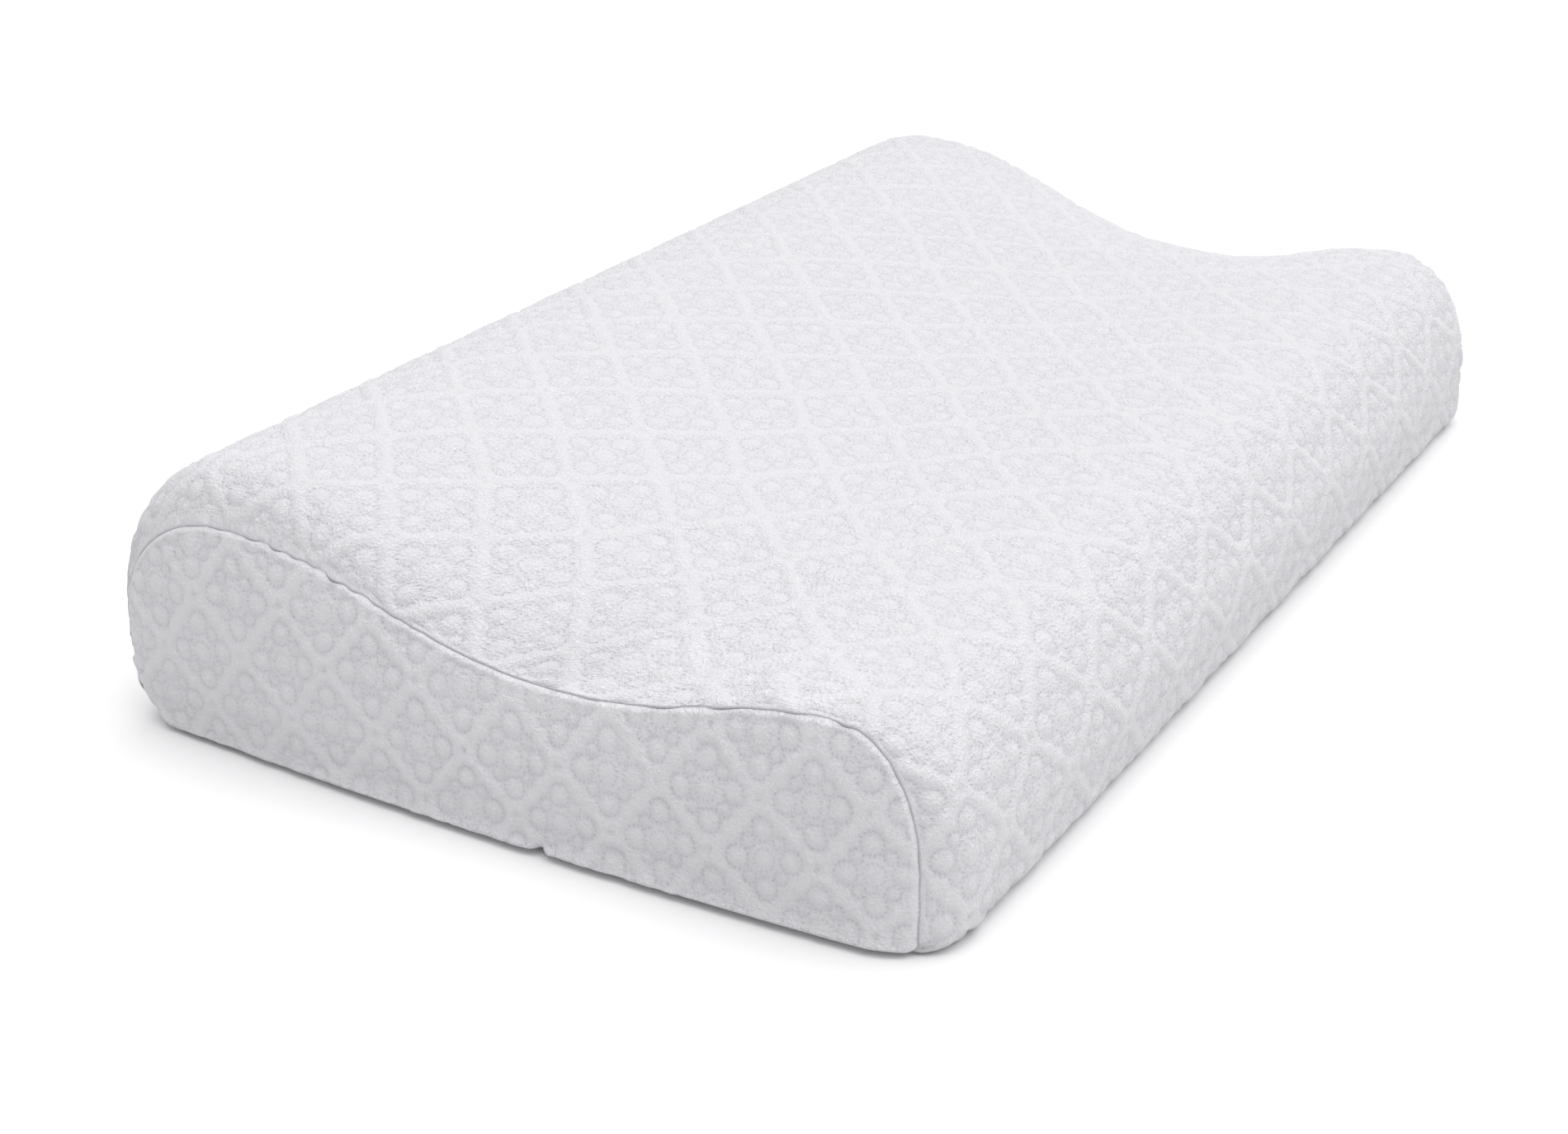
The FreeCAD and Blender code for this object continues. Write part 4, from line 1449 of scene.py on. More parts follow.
    def shares(self, length: float) -> Array:
        """Places from 0 to 1 across the panel, close together near its edge.

        Args:
            length: The panel's size that way.

        Returns:
            The places.
        """
        steps = np.array(self.edge_steps)
        count = round((length - 2 * steps[-1]) / self.spacing) + 1
        inner = np.linspace(steps[-1], length - steps[-1], count)[1:-1]
        return np.concatenate([steps, inner, length - steps[::-1]]) / length

    def notch(self, places: Array) -> Array:
        """Small tuck at the foot of the panel, where the underside's closing seam meets it."""
        beside = (places[:, :, 0] - ZIP_Y) / 2.6
        above = (places[:, :, 1] - 1.0) / 4.5
        return self.notch_depth * np.exp(-beside ** 2 - above ** 2)


# ---- liner and foam

@dataclass
class InnerShape:
    """The foam core or the liner: the wave taken in, with flat ends and the zip's recess."""

    name: str
    node: str
    slot: Slot
    inset: float
    end: float
    recess_margin: float
    recess_rise: float
    wall: float = 0.0
    spacing: float = 5.0

    def shell(self, inset: float, end: float, margin: float, rise: float,
              stations: Stations) -> Array:
        """Points of one closed-round skin.

        Args:
            inset: How far it is taken in.
            end: Distance of its ends from the seam planes.
            margin: How much wider the recess is.
            rise: Height of the recess above the skin's own floor.
            stations: Places round the outline.

        Returns:
            An array by place along X and station of x, y and z.
        """
        steps = [end, end + 0.8, end + 1.8, 6.5, 9.0, 12.5, 17.0, 22.0]
        x = mirrored_steps(steps, self.spacing)
        outline = WAVE.outline(WAVE.seam_x - np.abs(x), stations, inset, bridged=False)
        skin = along_x(x, outline)
        lift = RECESS.rise(x[:, None], skin[:, :, 1], margin) / RECESS.depth * rise
        skin[:, :, 2] += lift * (stations.curve == 0)
        return skin

    def build(self, material: Finishing) -> Thing:
        """Build the piece.

        Args:
            material: Its finish.

        Returns:
            The finished piece.
        """
        stations = spaced_stations(self.spacing, underside_lines(self.spacing))
        outer = self.shell(self.inset, self.end, self.recess_margin, self.recess_rise, stations)
        rows, columns = outer.shape[:2]
        ring, following = ring_pair(columns)
        last = (rows - 1) * columns
        points = outer.reshape(-1, 3)
        faces = [grid_quads(rows, columns, True).reshape(-1, 4)]
        if self.wall:
            inner = self.shell(self.inset + self.wall, self.end, self.recess_margin + self.wall,
                               self.recess_rise, stations)
            start = rows * columns
            faces.append(faces[0][:, ::-1] + start)
            faces.append(band(ring, following, start))
            faces.append(band(following + last, ring + last, start))
            points = np.concatenate([points, inner.reshape(-1, 3)])
        else:
            faces += [[list(ring[::-1])], [list(last + ring)]]
        along = np.repeat(outer[:, :1, 0], columns, axis=1)
        sweep = np.repeat(WrapPanel.sweep_of(stations)[None, :], rows, axis=0)
        cloth = np.stack([along, sweep, 0 * along], axis=-1).reshape(-1, 3)
        cloth = np.concatenate([cloth] * (len(points) // len(cloth)))
        piece = build_object(self.name, points, faces, {"cloth": cloth})
        dress(piece, material, self.slot, self.node)
        return piece


@dataclass
class LinerEnd:
    """One flat end piece of the liner."""

    end: Lobe
    inset: float = 3.4
    near: float = 2.5
    thickness: float = 0.6

    def build(self, material: Finishing) -> Thing:
        """Build the piece.

        Args:
            material: The liner's knit.

        Returns:
            The finished piece.
        """
        stations = spaced_stations(5.0)
        side = self.end.value
        rings = []
        for distance in (self.near, self.near + self.thickness):
            outline = WAVE.outline(np.array([distance]), stations, self.inset, bridged=False)[0]
            x = np.full(len(outline), side * (WAVE.seam_x - distance))
            rings.append(np.column_stack([x, outline]))
        count = len(rings[0])
        ring, following = ring_pair(count)
        outward, inward = [list(ring)], [list(ring[::-1] + count)]
        rim = band(ring, following, count)
        if side < 0:
            outward, inward, rim = [list(ring[::-1])], [list(ring + count)], rim[:, ::-1]
        points = np.concatenate(rings)
        cloth = np.column_stack([points[:, 1], points[:, 2], 0 * points[:, 0]])
        name = self.end.name.lower()
        piece = build_object("liner_cap_" + name, points, [outward, inward, rim], {"cloth": cloth},
                             smooth=False)
        return dress(piece, material, Slot.LINER, "liner_end_" + name)


# ---- sewing and zip

class StitchKind(Enum):
    """How a row of stitches lies: in line, or slanted across an overlocked edge."""

    STRAIGHT = "straight"
    OVERLOCK = "overlock"


@dataclass(frozen=True)
class StitchRow:
    """A row of thread stitches along a line, made with Geometry Nodes."""

    kind: StitchKind
    pitch: float
    length: float
    thread: float
    slant: float = 0.0

    def tree(self) -> Tree:
        """Build the tree.

        Returns:
            A tree that lays one small stitch at even steps along the edges of a mesh.
        """
        name = "stitches_" + self.kind.value
        if name in bpy.data.node_groups:
            return bpy.data.node_groups[name]
        tree, graph, entry, leave = new_group(
            name, "GeometryNodeTree",
            {"Line": "NodeSocketGeometry", "Pitch": self.pitch * MM,
             "Length": self.length * MM,
             "Thread": self.thread * MM, "Slant": self.slant,
             "Unevenness": 0.06, "Seed": FABRIC_SEED,
             "Finish": "NodeSocketMaterial"},
            {"Stitches": "NodeSocketGeometry"})
        given = entry.outputs
        places = graph.points_along(given["Line"], given["Pitch"])
        stitch = graph.node("GeometryNodeMeshUVSphere", {"Segments": 6, "Rings": 5, "Radius": 0.5})
        along = graph.node("FunctionNodeAlignRotationToVector", {"Vector": places.outputs["Tangent"]},
                           axis="X")
        wobble = graph.node("FunctionNodeRandomValue",
                            {"Min": graph.times(given["Unevenness"], -1.0),
                             "Max": given["Unevenness"], "Seed": given["Seed"]}, data_type="FLOAT")
        slant = graph.plus(given["Slant"], wobble.outputs[1])
        turn = graph.node("FunctionNodeRotateRotation",
                          {0: along.outputs[0], 1: graph.join(0.0, 0.0, slant)}, rotation_space="LOCAL")
        size = graph.join(given["Length"], given["Thread"], given["Thread"])
        laid = graph.node("GeometryNodeInstanceOnPoints",
                          {"Points": places.outputs[0], "Instance": stitch.outputs[0],
                           "Rotation": turn.outputs[0], "Scale": size})
        graph.close(laid.outputs[0], given["Finish"], leave)
        return tree

    def lay(self, name: str, lines: list, material: Finishing) -> Thing:
        """Lay stitches along some lines.

        Args:
            name: The piece's name.
            lines: Points of each line in millimetres, and whether it closes on itself.
            material: The thread.

        Returns:
            The stitches as one mesh.
        """
        mesh = bpy.data.meshes.new(name)
        points, edges = [], []
        for line, closed in lines:
            start, count = len(points), len(line)
            points += [tuple(np.asarray(point) * MM) for point in line]
            steps = range(count if closed else count - 1)
            edges += [(start + k, start + (k + 1) % count) for k in steps]
        mesh.from_pydata(points, edges, [])
        return grown(placed(name + "_line", mesh), self.tree(),
                     {"Pitch": self.pitch * MM, "Length": self.length * MM,
                      "Thread": self.thread * MM, "Slant": self.slant, "Finish": material}, name)


@dataclass
class Sewing:
    """Every sewn row of the cover and the liner."""

    thread: Finishing
    overlock: StitchRow = StitchRow(StitchKind.OVERLOCK, 1.9, 2.3, 0.42, 0.95)
    straight: StitchRow = StitchRow(StitchKind.STRAIGHT, 2.9, 2.5, 0.42)
    closing: StitchRow = StitchRow(StitchKind.OVERLOCK, 1.7, 1.5, 0.34, 1.0)

    @staticmethod
    def ring(distance: float, inset: float, x: float, bridged: bool = True) -> Array:
        """A line of points round the pillow, for a seam at one place along X."""
        outline = WAVE.outline(np.array([distance]), spaced_stations(3.0), inset, bridged)[0]
        return np.column_stack([np.full(len(outline), x), outline])

    def end_seams(self) -> None:
        """Lay the overlocked bead inside each end seam of the cover and of the liner."""
        for end in Lobe:
            name = end.name.lower()
            rows = (("cover_seam_", "end_seam_", 0.0, 3.6, 299.6, True),
                    ("liner_seam_row_", "liner_seam_", 2.5, 4.6, 297.9, False))
            for title, node, distance, inset, x, bridged in rows:
                line = self.ring(distance, inset, end.value * x, bridged)
                seam = self.overlock.lay(title + name, [(line, True)], self.thread)
                dress(seam, self.thread, Slot.THREAD, node + name)

    def closing_seams(self) -> None:
        """Lay the seams that join the wrap's two edges beyond the zip's recess."""
        for end in Lobe:
            name = end.name.lower()
            line = [(end.value * x, ZIP_Y, 2.3) for x in np.linspace(263.5, 296.5, 12)]
            seam = self.closing.lay("closing_row_" + name, [(line, False)], self.thread)
            dress(seam, self.thread, Slot.THREAD, "closing_seam_" + name)

    def zip_rows(self) -> None:
        """Lay the topstitching on both sides of the zip."""
        for side, y in (("front", -31.5), ("back", -13.5)):
            line = [(x, y, 4.85) for x in np.linspace(-232.0, 232.0, 80)]
            row = self.straight.lay("zip_topstitch_" + side, [(line, False)], self.thread)
            dress(row, self.thread, Slot.THREAD, "zip_stitching_" + side)


@dataclass
class ZipTape:
    """One woven tape of the zip, slightly wavy between its stitches."""

    side: str
    low_y: float
    high_y: float
    half_length: float = 238.0
    width: float = 12.0
    low_z: float = 8.0
    thickness: float = 0.5
    wave: float = 0.05
    stitch_pair: float = 5.8

    def build(self, material: Finishing) -> Thing:
        """Build the tape.

        Args:
            material: The woven finish.

        Returns:
            The finished piece.
        """
        x = np.linspace(-self.half_length, self.half_length, 239)
        across = np.array([0.0, 0.25, 0.8, 2.0, 4.0, 6.0, 8.0, 10.0, 11.2, 11.75, self.width])
        y = self.low_y + across / self.width * (self.high_y - self.low_y)
        edge = np.minimum(across, self.width - across)
        rounding = 0.16 * np.clip(1.0 - edge / 0.4, 0.0, 1.0)
        grid_x, grid_y = np.meshgrid(x, y, indexing="ij")
        ripple = self.wave * (1.0 + np.sin(2 * math.pi * grid_x / self.stitch_pair))
        ripple = ripple * smooth_step(edge / 3.0)[None, :]
        low_z = self.low_z + rounding[None, :] + 0 * ripple
        high_z = self.low_z + self.thickness - rounding[None, :] + ripple
        points = np.concatenate([np.stack([grid_x, grid_y, z], axis=-1).reshape(-1, 3)
                                 for z in (low_z, high_z)])
        cloth = np.column_stack([points[:, 0], points[:, 1], 0 * points[:, 0]])
        tape = build_object("tape_" + self.side, points, pad_faces(*grid_x.shape), {"cloth": cloth})
        return dress(tape, material, Slot.TAPE, "zip_tape_" + self.side)


@dataclass
class ZipCoil:
    """One side of the zip's coil: a row of nylon loops, made with Geometry Nodes."""

    side: str
    centre_y: float
    lean: float
    start: float
    end_x: float = 229.4
    pitch: float = 1.27
    width: float = 2.3
    height: float = 1.5
    centre_z: float = 7.2
    wire: float = 0.27

    @staticmethod
    def tree() -> Tree:
        """Build the tree.

        Returns:
            A tree that sets one leaning oval loop at even steps along a line.
        """
        name = "coil"
        if name in bpy.data.node_groups:
            return bpy.data.node_groups[name]
        tree, graph, entry, leave = new_group(
            name, "GeometryNodeTree",
            {"Line": "NodeSocketGeometry", "Pitch": 1.27 * MM,
             "Width": 2.3 * MM, "Height": 1.5 * MM,
             "Wire": 0.27 * MM, "Lean": 0.2,
             "Finish": "NodeSocketMaterial"},
            {"Coil": "NodeSocketGeometry"})
        given = entry.outputs
        places = graph.points_along(given["Line"], given["Pitch"])
        circle = graph.node("GeometryNodeCurvePrimitiveCircle", {"Resolution": 9, "Radius": 0.5})
        oval = graph.node("GeometryNodeTransform",
                          {0: circle.outputs[0],
                           "Scale": graph.join(given["Width"], given["Height"], 1.0)})
        upright = graph.node("GeometryNodeTransform",
                             {0: oval.outputs[0], "Rotation": (math.pi / 2, 0.0, math.pi / 2)})
        section = graph.node("GeometryNodeCurvePrimitiveCircle",
                             {"Resolution": 4, "Radius": given["Wire"]})
        loop = graph.node("GeometryNodeCurveToMesh", {0: upright.outputs[0], 1: section.outputs[0]})
        laid = graph.node("GeometryNodeInstanceOnPoints",
                          {"Points": places.outputs[0], "Instance": loop.outputs[0],
                           "Rotation": graph.join(0.0, 0.0, given["Lean"])})
        graph.close(laid.outputs[0], given["Finish"], leave, smooth=True)
        return tree

    def build(self, material: Finishing) -> Thing:
        """Build the coil.

        Args:
            material: The nylon.

        Returns:
            The finished piece.
        """
        mesh = bpy.data.meshes.new("coil_line")
        ends = [(x * MM, self.centre_y * MM, self.centre_z * MM) for x in (self.start, self.end_x)]
        mesh.from_pydata(ends, [(0, 1)], [])
        coil = grown(placed("coil_line", mesh), self.tree(),
                     {"Pitch": self.pitch * MM, "Width": self.width * MM, "Height": self.height * MM,
                      "Wire": self.wire * MM, "Lean": self.lean, "Finish": material},
                     "coil_" + self.side)
        return dress(coil, material, Slot.COIL, "zip_coil_" + self.side)


@dataclass
class CareLabel:
    """A blank ribbon, sewn into the right end seam inside the cover, with a slight curl."""

    low: tuple = (299.74, 45.0, 5.7)
    width: float = 25.0
    height: float = 40.0
    thickness: float = 0.14
    curl: float = 0.10

    def build(self, material: Finishing) -> Thing:
        """Build the label.

        Args:
            material: The ribbon.

        Returns:
            The finished piece.
        """
        y, z = np.linspace(0, self.width, 26), np.linspace(0, self.height, 41)
        grid_z, grid_y = np.meshgrid(z, y, indexing="ij")
        bend = np.sin(grid_z / self.height * math.pi * 1.5) * np.cos(grid_y / self.width * math.pi)
        front_x = self.low[0] + self.curl * bend + self.thickness / 2
        front = np.stack([front_x, self.low[1] + grid_y, self.low[2] + grid_z], axis=-1)
        back = front - np.array([self.thickness, 0.0, 0.0])
        points = np.concatenate([front.reshape(-1, 3), back.reshape(-1, 3)])
        cloth = np.column_stack([points[:, 1], points[:, 2], 0 * points[:, 0]])
        label = build_object("label_ribbon_blank", points, pad_faces(*grid_y.shape), {"cloth": cloth})
        dress(label, material, Slot.LABEL, "care_label")
        return label


# ---- shared effects

def knit_group() -> Tree:
    """Fine knit rows.

    Returns:
        A group that takes cloth distances and gives the height of the yarn loops, a soft mottling
        and a finer grain.
    """
    tree, graph, entry, leave = new_group(
        "knit rows", "ShaderNodeTree",
        {"Cloth": "NodeSocketVector", "Wale": 1.1,
         "Course": 0.9, "Unevenness": 0.35},
        {"Height": "NodeSocketFloat", "Mottle": "NodeSocketFloat", "Grain": "NodeSocketFloat"})
    given = entry.outputs
    drift = graph.noise(given["Cloth"], 0.35, 2.0)
    along, up, _ = graph.split(given["Cloth"])
    sway = graph.times(graph.minus(drift, 0.5), given["Unevenness"])
    wale = graph.plus(graph.math("DIVIDE", along, given["Wale"]), sway)
    course = graph.plus(graph.math("DIVIDE", up, given["Course"]), sway)
    leg = graph.times(graph.size(graph.minus(graph.math("FRACT", wale), 0.5)), 1.2)
    slanted = graph.times(graph.plus(course, leg), 2 * math.pi)
    rows = graph.math("MULTIPLY_ADD", graph.math("COSINE", slanted), 0.5, 0.5)
    columns = graph.size(graph.math("SINE", graph.times(wale, math.pi)))
    height = graph.times(rows, graph.math("MULTIPLY_ADD", columns, 0.6, 0.4))
    fuzz = graph.noise(given["Cloth"], 1.6, 3.0)
    grain = graph.noise(given["Cloth"], 0.72, 3.0, 0.62)
    graph.put(graph.math("MULTIPLY_ADD", fuzz, 0.5, height), leave.inputs[0])
    graph.put(drift, leave.inputs[1])
    graph.put(graph.ramp(grain, 0.30, 0.70), leave.inputs[2])
    return tree


def needle_group() -> Tree:
    """Needle holes of the quilted motif.

    Returns:
        A group that takes lattice coordinates and gives the holes along the outlines.
    """
    tree, graph, entry, leave = new_group(
        "needle holes", "ShaderNodeTree",
        {"Motif": "NodeSocketVector", "Hole": 0.55},
        {"Holes": "NodeSocketFloat"})
    x, y = MOTIF.folded(graph, entry.outputs["Motif"])
    weight = graph.split(entry.outputs["Motif"])[2]
    hole = bell(graph, MOTIF.dot_distance(graph, x, y), entry.outputs["Hole"])
    graph.put(graph.times(hole, weight), leave.inputs[0])
    return tree


def weave_group() -> Tree:
    """Herringbone or plain weave.

    Returns:
        A group that takes cloth distances and gives the height of the yarns.
    """
    tree, graph, entry, leave = new_group(
        "woven yarns", "ShaderNodeTree",
        {"Cloth": "NodeSocketVector", "Yarn": 0.45,
         "Chevron": 3.0, "Slant": 1.0},
        {"Height": "NodeSocketFloat"})
    along, up, _ = graph.split(entry.outputs["Cloth"])
    folded = graph.math("PINGPONG", up, entry.outputs["Chevron"])
    ribs = graph.plus(along, graph.times(folded, entry.outputs["Slant"]))
    ribs = graph.math("DIVIDE", ribs, entry.outputs["Yarn"])
    rib = graph.size(graph.math("SINE", graph.times(ribs, math.pi)))
    across = graph.times(graph.math("DIVIDE", up, entry.outputs["Yarn"]), math.pi)
    cross = graph.size(graph.math("SINE", across))
    graph.put(graph.times(rib, graph.math("MULTIPLY_ADD", cross, 0.5, 0.5)), leave.inputs[0])
    return tree


@dataclass(frozen=True)
class Finish:
    """Base of every finish: a material with a Principled shader."""

    name: str
    roughness: float = 0.8

    def build(self) -> Finishing:
        """Make the material.

        Returns:
            The material, painted by its own finish.
        """
        material = bpy.data.materials.new(self.name)
        material.use_nodes = True
        graph = Graph(material.node_tree)
        shader = material.node_tree.nodes["Principled BSDF"]
        shader.inputs["Roughness"].default_value = self.roughness
        self.paint(graph, shader)
        return material

    def paint(self, graph: Graph, shader: bpy.types.Node) -> None:
        """Leave the shader plain; each finish paints its own."""

    @staticmethod
    def attribute(graph: Graph, name: str) -> Socket:
        """Return a point attribute's vector."""
        return graph.node("ShaderNodeAttribute", attribute_name=name).outputs["Vector"]

    @staticmethod
    def bump(graph: Graph, shader: bpy.types.Node, height: object, distance: float,
             strength: float) -> None:
        """Drive the shader's normal with a height in shares of a distance in metres."""
        made = graph.node("ShaderNodeBump",
                          {"Height": height, "Distance": distance, "Strength": strength})
        graph.put(made.outputs[0], shader.inputs["Normal"])

    @staticmethod
    def coat(graph: Graph, shader: bpy.types.Node, colour: object, roughness: object) -> None:
        """Drive the shader's colour and roughness."""
        graph.put(colour, shader.inputs["Base Color"])
        graph.put(roughness, shader.inputs["Roughness"])


@dataclass(frozen=True)
class QuiltedKnit(Finish):
    """White double knit with a raised motif: yarn loops and needle holes, with slightly grey painted shade
    in its grooves and pits, needle holes and seam groove.
    """

    light: tuple = (0.745, 0.742, 0.764, 1.0)
    # Darker tone of the knit, used both for the painted shade in the grooves and pits and for the knit's
    # random grain and mottling.
    shade: tuple = (0.630, 0.628, 0.658, 1.0)
    # Painted shade in the needle holes.
    hole: tuple = (0.480, 0.478, 0.520, 1.0)
    # Painted shade along the seam groove and in the tuck at the panel's foot.
    seam: tuple = (0.400, 0.400, 0.430, 1.0)

    def paint(self, graph: Graph, shader: bpy.types.Node) -> None:
        """Paint the shader."""
        cloth, motif = self.attribute(graph, "cloth"), self.attribute(graph, "motif")
        knit = graph.node("ShaderNodeGroup", node_tree=bpy.data.node_groups["knit rows"])
        graph.put(cloth, knit.inputs["Cloth"])
        needles = graph.node("ShaderNodeGroup", node_tree=bpy.data.node_groups["needle holes"])
        graph.put(motif, needles.inputs["Motif"])
        loops, mottle, grain = (knit.outputs[title] for title in ("Height", "Mottle", "Grain"))
        holes = needles.outputs["Holes"]
        # Painted shade: the grooves and pits are tinted towards the shade colour.
        hollow = graph.node("ShaderNodeAttribute", attribute_name="hollow").outputs["Fac"]
        base = graph.mix(graph.times(hollow, 0.24), self.light, self.shade)
        base = graph.mix(graph.ramp(grain, 0.0, 1.0, 0.18, 0.0), base, self.shade)
        base = graph.mix(graph.ramp(mottle, 0.3, 0.7, 0.0, 0.10), base, self.shade)
        # Painted shade: the needle holes are darkened towards the hole colour.
        base = graph.mix(graph.times(holes, 0.36), base, self.hole)
        # Painted shade: the seam groove and the foot's tuck are darkened towards the seam colour.
        base = graph.mix(graph.times(graph.split(cloth)[2], 0.85), base, self.seam)
        self.coat(graph, shader, base, graph.ramp(loops, 0.0, 1.2, 0.95, 0.78))
        height = graph.minus(graph.times(loops, 0.22), graph.times(holes, 0.6))
        height = graph.math("MULTIPLY_ADD", grain, 1.15, height)
        self.bump(graph, shader, height, 0.0006, 0.8)
        for title, value in (("Sheen Weight", 0.12), ("Sheen Roughness", 0.5),
                             ("Specular IOR Level", 0.25)):
            shader.inputs[title].default_value = value


@dataclass(frozen=True)
class PlainKnit(Finish):
    """Thin white jersey of the liner."""

    light: tuple = (0.78, 0.78, 0.77, 1.0)
    shade: tuple = (0.66, 0.66, 0.67, 1.0)

    def paint(self, graph: Graph, shader: bpy.types.Node) -> None:
        """Paint the shader."""
        knit = graph.node("ShaderNodeGroup", {"Wale": 0.8, "Course": 0.7},
                          node_tree=bpy.data.node_groups["knit rows"])
        graph.put(self.attribute(graph, "cloth"), knit.inputs["Cloth"])
        share = graph.ramp(knit.outputs["Height"], 0.2, 1.2, 0.8, 0.0)
        self.coat(graph, shader, graph.mix(share, self.light, self.shade),
                  graph.ramp(knit.outputs["Mottle"], 0.3, 0.7, 0.82, 0.95))
        self.bump(graph, shader, knit.outputs["Height"], 0.0002, 0.6)


@dataclass(frozen=True)
class MemoryFoam(Finish):
    """Moulded memory foam: fine closed skin with open pores."""

    light: tuple = (0.86, 0.83, 0.74, 1.0)
    shade: tuple = (0.70, 0.66, 0.55, 1.0)

    def paint(self, graph: Graph, shader: bpy.types.Node) -> None:
        """Paint the shader."""
        place = graph.place()
        pores, large = (graph.node("ShaderNodeTexVoronoi", {"Vector": place, "Scale": scale},
                                   feature="F1").outputs["Distance"] for scale in (900.0, 210.0))
        cloud = graph.noise(place, 14.0, 4.0)
        pore = graph.ramp(pores, 0.12, 0.42, 1.0, 0.0)
        wide = graph.ramp(large, 0.05, 0.16, 1.0, 0.0)
        depth = graph.math("MAXIMUM", graph.times(pore, 0.6), wide)
        tone = graph.math("MULTIPLY_ADD", depth, 0.6, graph.ramp(cloud, 0.35, 0.7, 0.0, 0.3))
        self.coat(graph, shader, graph.mix(tone, self.light, self.shade),
                  graph.ramp(cloud, 0.3, 0.7, 0.85, 0.95))
        self.bump(graph, shader, graph.times(depth, -1.0), 0.0004, 0.6)


@dataclass(frozen=True)
class Thread(Finish):
    """Twisted polyester sewing thread."""

    light: tuple = (0.84, 0.84, 0.85, 1.0)
    shade: tuple = (0.62, 0.62, 0.66, 1.0)

    def paint(self, graph: Graph, shader: bpy.types.Node) -> None:
        """Paint the shader."""
        wave = graph.node("ShaderNodeTexWave", {"Vector": graph.place(), "Scale": 900.0, "Distortion": 1.5},
                          bands_direction="DIAGONAL")
        twist = wave.outputs["Fac"]
        self.coat(graph, shader, graph.mix(twist, self.shade, self.light),
                  graph.ramp(twist, 0.0, 1.0, 0.7, 0.5))
        self.bump(graph, shader, twist, 0.0001, 0.5)


@dataclass(frozen=True)
class Woven(Finish):
    """Woven tape or ribbon."""

    yarn: float = 0.45
    chevron: float = 3.0
    light: tuple = (0.80, 0.80, 0.82, 1.0)
    shade: tuple = (0.60, 0.60, 0.64, 1.0)

    def paint(self, graph: Graph, shader: bpy.types.Node) -> None:
        """Paint the shader."""
        weave = graph.node("ShaderNodeGroup", {"Yarn": self.yarn, "Chevron": self.chevron},
                           node_tree=bpy.data.node_groups["woven yarns"])
        graph.put(self.attribute(graph, "cloth"), weave.inputs["Cloth"])
        cloud = graph.noise(graph.place(), 60.0)
        tone = graph.math("MULTIPLY_ADD", weave.outputs[0], 0.8, graph.times(cloud, 0.2))
        self.coat(graph, shader, graph.mix(tone, self.shade, self.light),
                  graph.ramp(tone, 0.0, 1.0, self.roughness + 0.15, self.roughness - 0.1))
        self.bump(graph, shader, weave.outputs[0], 0.00015, 0.7)


@dataclass(frozen=True)
class Nylon(Finish):
    """Drawn nylon wire of the coil."""

    light: tuple = (0.82, 0.82, 0.84, 1.0)
    shade: tuple = (0.72, 0.72, 0.76, 1.0)

    def paint(self, graph: Graph, shader: bpy.types.Node) -> None:
        """Paint the shader."""
        cloud = graph.noise(graph.place(), 320.0, 2.0)
        self.coat(graph, shader, graph.mix(cloud, self.light, self.shade),
                  graph.ramp(cloud, 0.3, 0.7, 0.28, 0.42))
        self.bump(graph, shader, cloud, 0.00005, 0.3)


@dataclass(frozen=True)
class PlatedMetal(Finish):
    """Nickel-plated zinc with fine rubbing marks."""

    light: tuple = (0.72, 0.71, 0.69, 1.0)
    shade: tuple = (0.52, 0.51, 0.50, 1.0)

    def paint(self, graph: Graph, shader: bpy.types.Node) -> None:
        """Paint the shader."""
        place = graph.place()
        turned = graph.node("ShaderNodeMapping", {"Vector": place, "Scale": (140.0, 1600.0, 900.0)})
        rubbed = graph.noise(turned.outputs[0], 1.0, 5.0)
        cloud = graph.noise(place, 260.0, 3.0)
        self.coat(graph, shader, graph.mix(graph.ramp(cloud, 0.35, 0.7), self.light, self.shade),
                  graph.ramp(rubbed, 0.3, 0.7, 0.20, 0.42))
        shader.inputs["Metallic"].default_value = 1.0
        self.bump(graph, shader, rubbed, 0.00004, 0.35)


@dataclass(frozen=True)
class FloorPaper(Finish):
    """Plain pale studio floor."""

    tone: tuple = (0.850, 0.850, 0.850, 1.0)
    other: tuple = (0.835, 0.835, 0.835, 1.0)

    def paint(self, graph: Graph, shader: bpy.types.Node) -> None:
        """Paint the shader."""
        cloud = graph.noise(graph.place(), 3.0)
        graph.put(graph.mix(cloud, self.tone, self.other), shader.inputs["Base Color"])
        shader.inputs["Specular IOR Level"].default_value = 0.0


# ---- studio

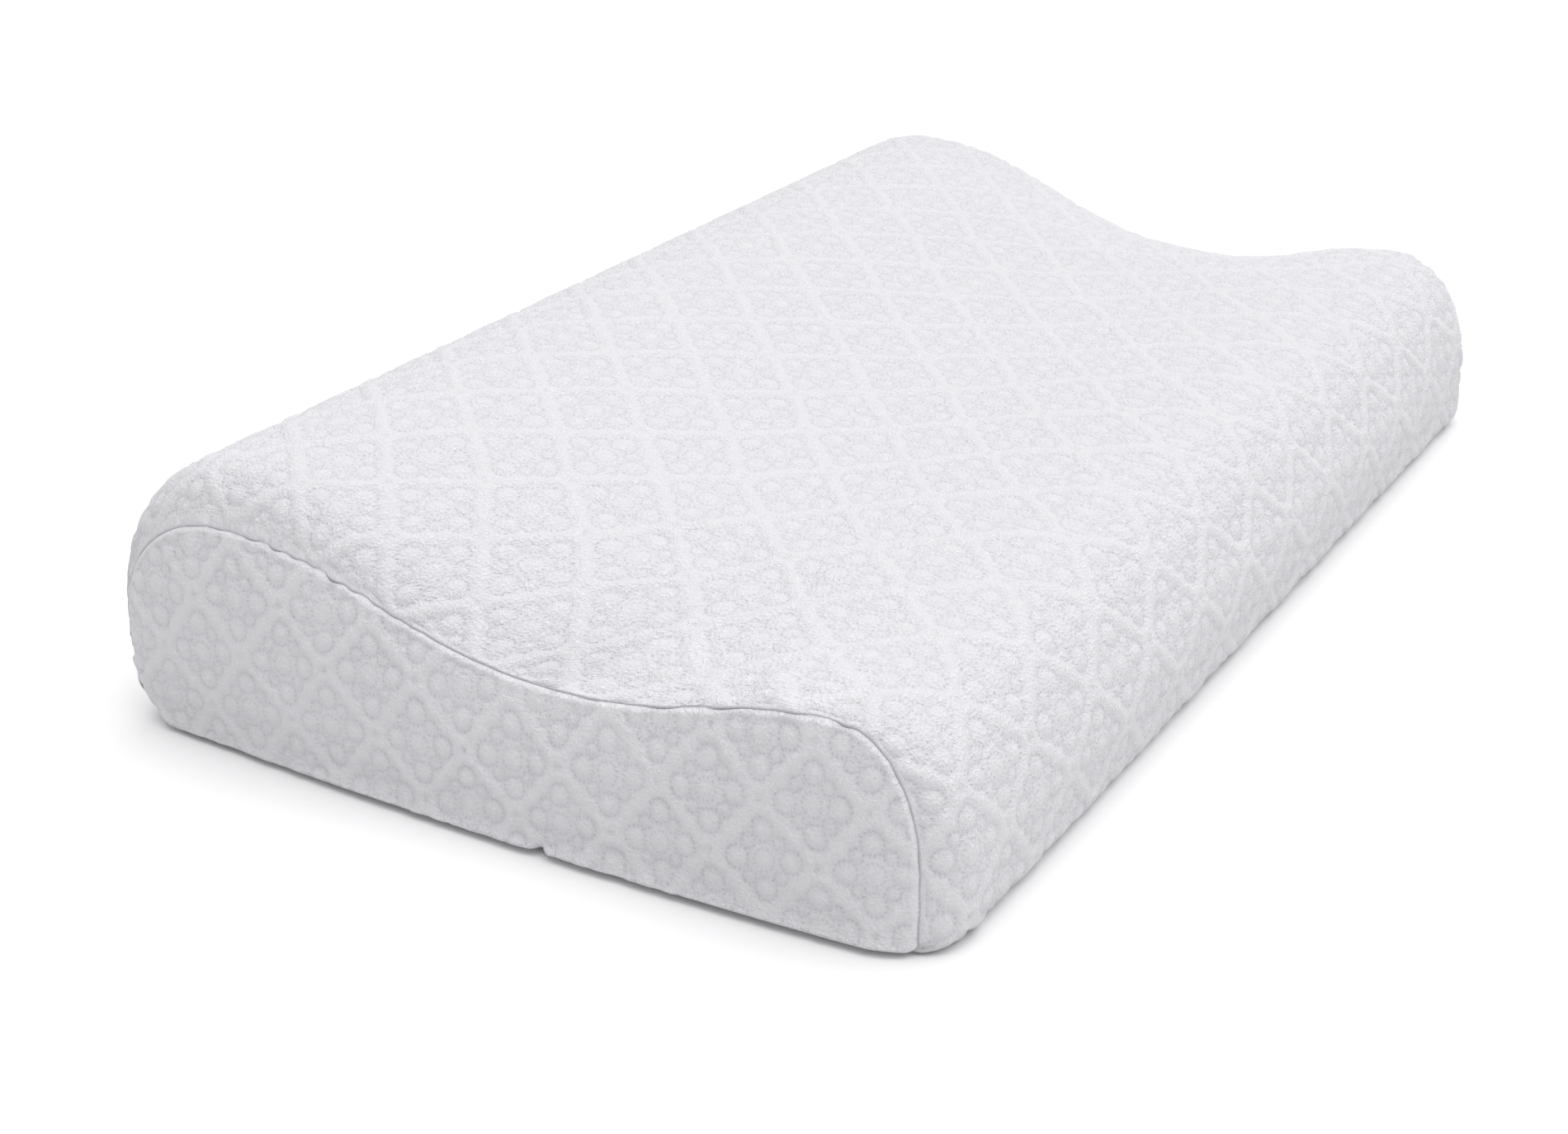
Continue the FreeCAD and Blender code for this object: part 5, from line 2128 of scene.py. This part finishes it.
@dataclass
class Studio:
    """The floor, the soft lights and the camera."""

    camera_place: tuple = (-0.9318, -0.4819, 0.4580)
    heading: float = 30.0
    pitch: float = -24.13
    lens: float = 57.0
    floor_half: float = 6.0
    sky: float = 0.56
    key: float = 2.84

    def build(self, floor_material: Finishing) -> None:
        """Set up the floor, lights and camera.

        Args:
            floor_material: The floor's finish.
        """
        scene = bpy.context.scene
        mesh = bpy.data.meshes.new("floor")
        half = self.floor_half
        corners = [(-half, -half, 0.0), (half, -half, 0.0), (half, half, 0.0), (-half, half, 0.0)]
        mesh.from_pydata(corners, [], [(0, 1, 2, 3)])
        mesh.materials.append(floor_material)
        floor = placed("floor", mesh)
        world = bpy.data.worlds.new("studio")
        world.use_nodes = True
        back = world.node_tree.nodes["Background"]
        back.inputs["Color"].default_value = (0.985, 0.985, 1.0, 1.0)
        back.inputs["Strength"].default_value = self.sky
        scene.world = world
        self.sun("key", self.key, (9.0, 7.0, 0.0), 84.0)
        camera = bpy.data.cameras.new("view")
        camera.lens = self.lens
        camera.sensor_width = 36.0
        camera.clip_end = 50.0
        holder = placed("view", camera)
        holder.location = self.camera_place
        tilt, heading = math.radians(90.0 + self.pitch), math.radians(self.heading - 90.0)
        holder.rotation_euler = (tilt, 0.0, heading)
        scene.camera = holder
        scene.view_settings.view_transform = "Standard"

    @staticmethod
    def sun(name: str, strength: float, turn: tuple, width: float) -> None:
        """Add one wide soft light from far away.

        Args:
            name: The light's name.
            strength: How bright it is.
            turn: How far it is turned about X, Y and Z from straight down, in degrees.
            width: How wide it looks, in degrees.
        """
        light = bpy.data.lights.new(name, "SUN")
        light.energy = strength
        light.angle = math.radians(width)
        placed(name, light).rotation_euler = tuple(math.radians(value) for value in turn)


@dataclass
class Zip:
    """The closed zip on the underside; its metal pieces are the CAD nodes with a plated finish."""

    tape: Finishing
    nylon: Finishing
    metal: Finishing
    metal_nodes: tuple = ("zip_top_stops", "zip_bottom_stop", "zip_slider_body", "zip_slider_crown",
                          "zip_pull_tab")

    def build(self) -> None:
        """Build the tapes and coils and plate the metal."""
        for tape in (ZipTape("front", -35.3, -23.3), ZipTape("back", -21.7, -9.7)):
            tape.build(self.tape)
        for coil in (ZipCoil("front", -24.0, 0.22, -229.4), ZipCoil("back", -21.0, -0.22, -228.765)):
            coil.build(self.nylon)
        for node in self.metal_nodes:
            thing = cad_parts[node]
            for place in thing.material_slots:
                place.material = self.metal


def main() -> None:
    """Build the materials and the studio, then every piece, and log the face count of the cover, liner,
    foam and label pieces.
    """
    logging.basicConfig(level=logging.INFO, format="%(message)s")
    knit_group()
    needle_group()
    weave_group()
    cover = QuiltedKnit("quilted knit").build()
    liner = PlainKnit("liner jersey").build()
    foam = MemoryFoam("memory foam").build()
    thread = Thread("sewing thread", 0.6).build()
    tape = Woven("herringbone tape", 0.7).build()
    ribbon = Woven("satin ribbon", 0.45, yarn=0.22, chevron=40.0).build()
    Studio().build(FloorPaper("studio paper", 0.9).build())
    soft = [WrapPanel(), EndPanel(Lobe.LEFT), EndPanel(Lobe.RIGHT)]
    for part in soft:
        piece = part.build(cover)
        LOG.info("%s: %d faces", piece.name, len(piece.data.polygons))
    inside = [(InnerShape("liner_tube", "liner_sleeve", Slot.LINER, 3.4, 3.1, 3.4, 6.75, wall=0.6), liner),
              (LinerEnd(Lobe.LEFT), liner), (LinerEnd(Lobe.RIGHT), liner),
              (InnerShape("foam_block", "foam_core", Slot.FOAM, 4.3, 3.4, 4.3, 6.75), foam)]
    for part, material in inside:
        piece = part.build(material)
        LOG.info("%s: %d faces", piece.name, len(piece.data.polygons))
    sewing = Sewing(thread)
    sewing.end_seams()
    sewing.closing_seams()
    sewing.zip_rows()
    Zip(tape, Nylon("coil nylon", 0.35).build(), PlatedMetal("nickel plate", 0.3).build()).build()
    label = CareLabel().build(ribbon)
    LOG.info("%s: %d faces", label.name, len(label.data.polygons))


if __name__ == "__main__":
    main()
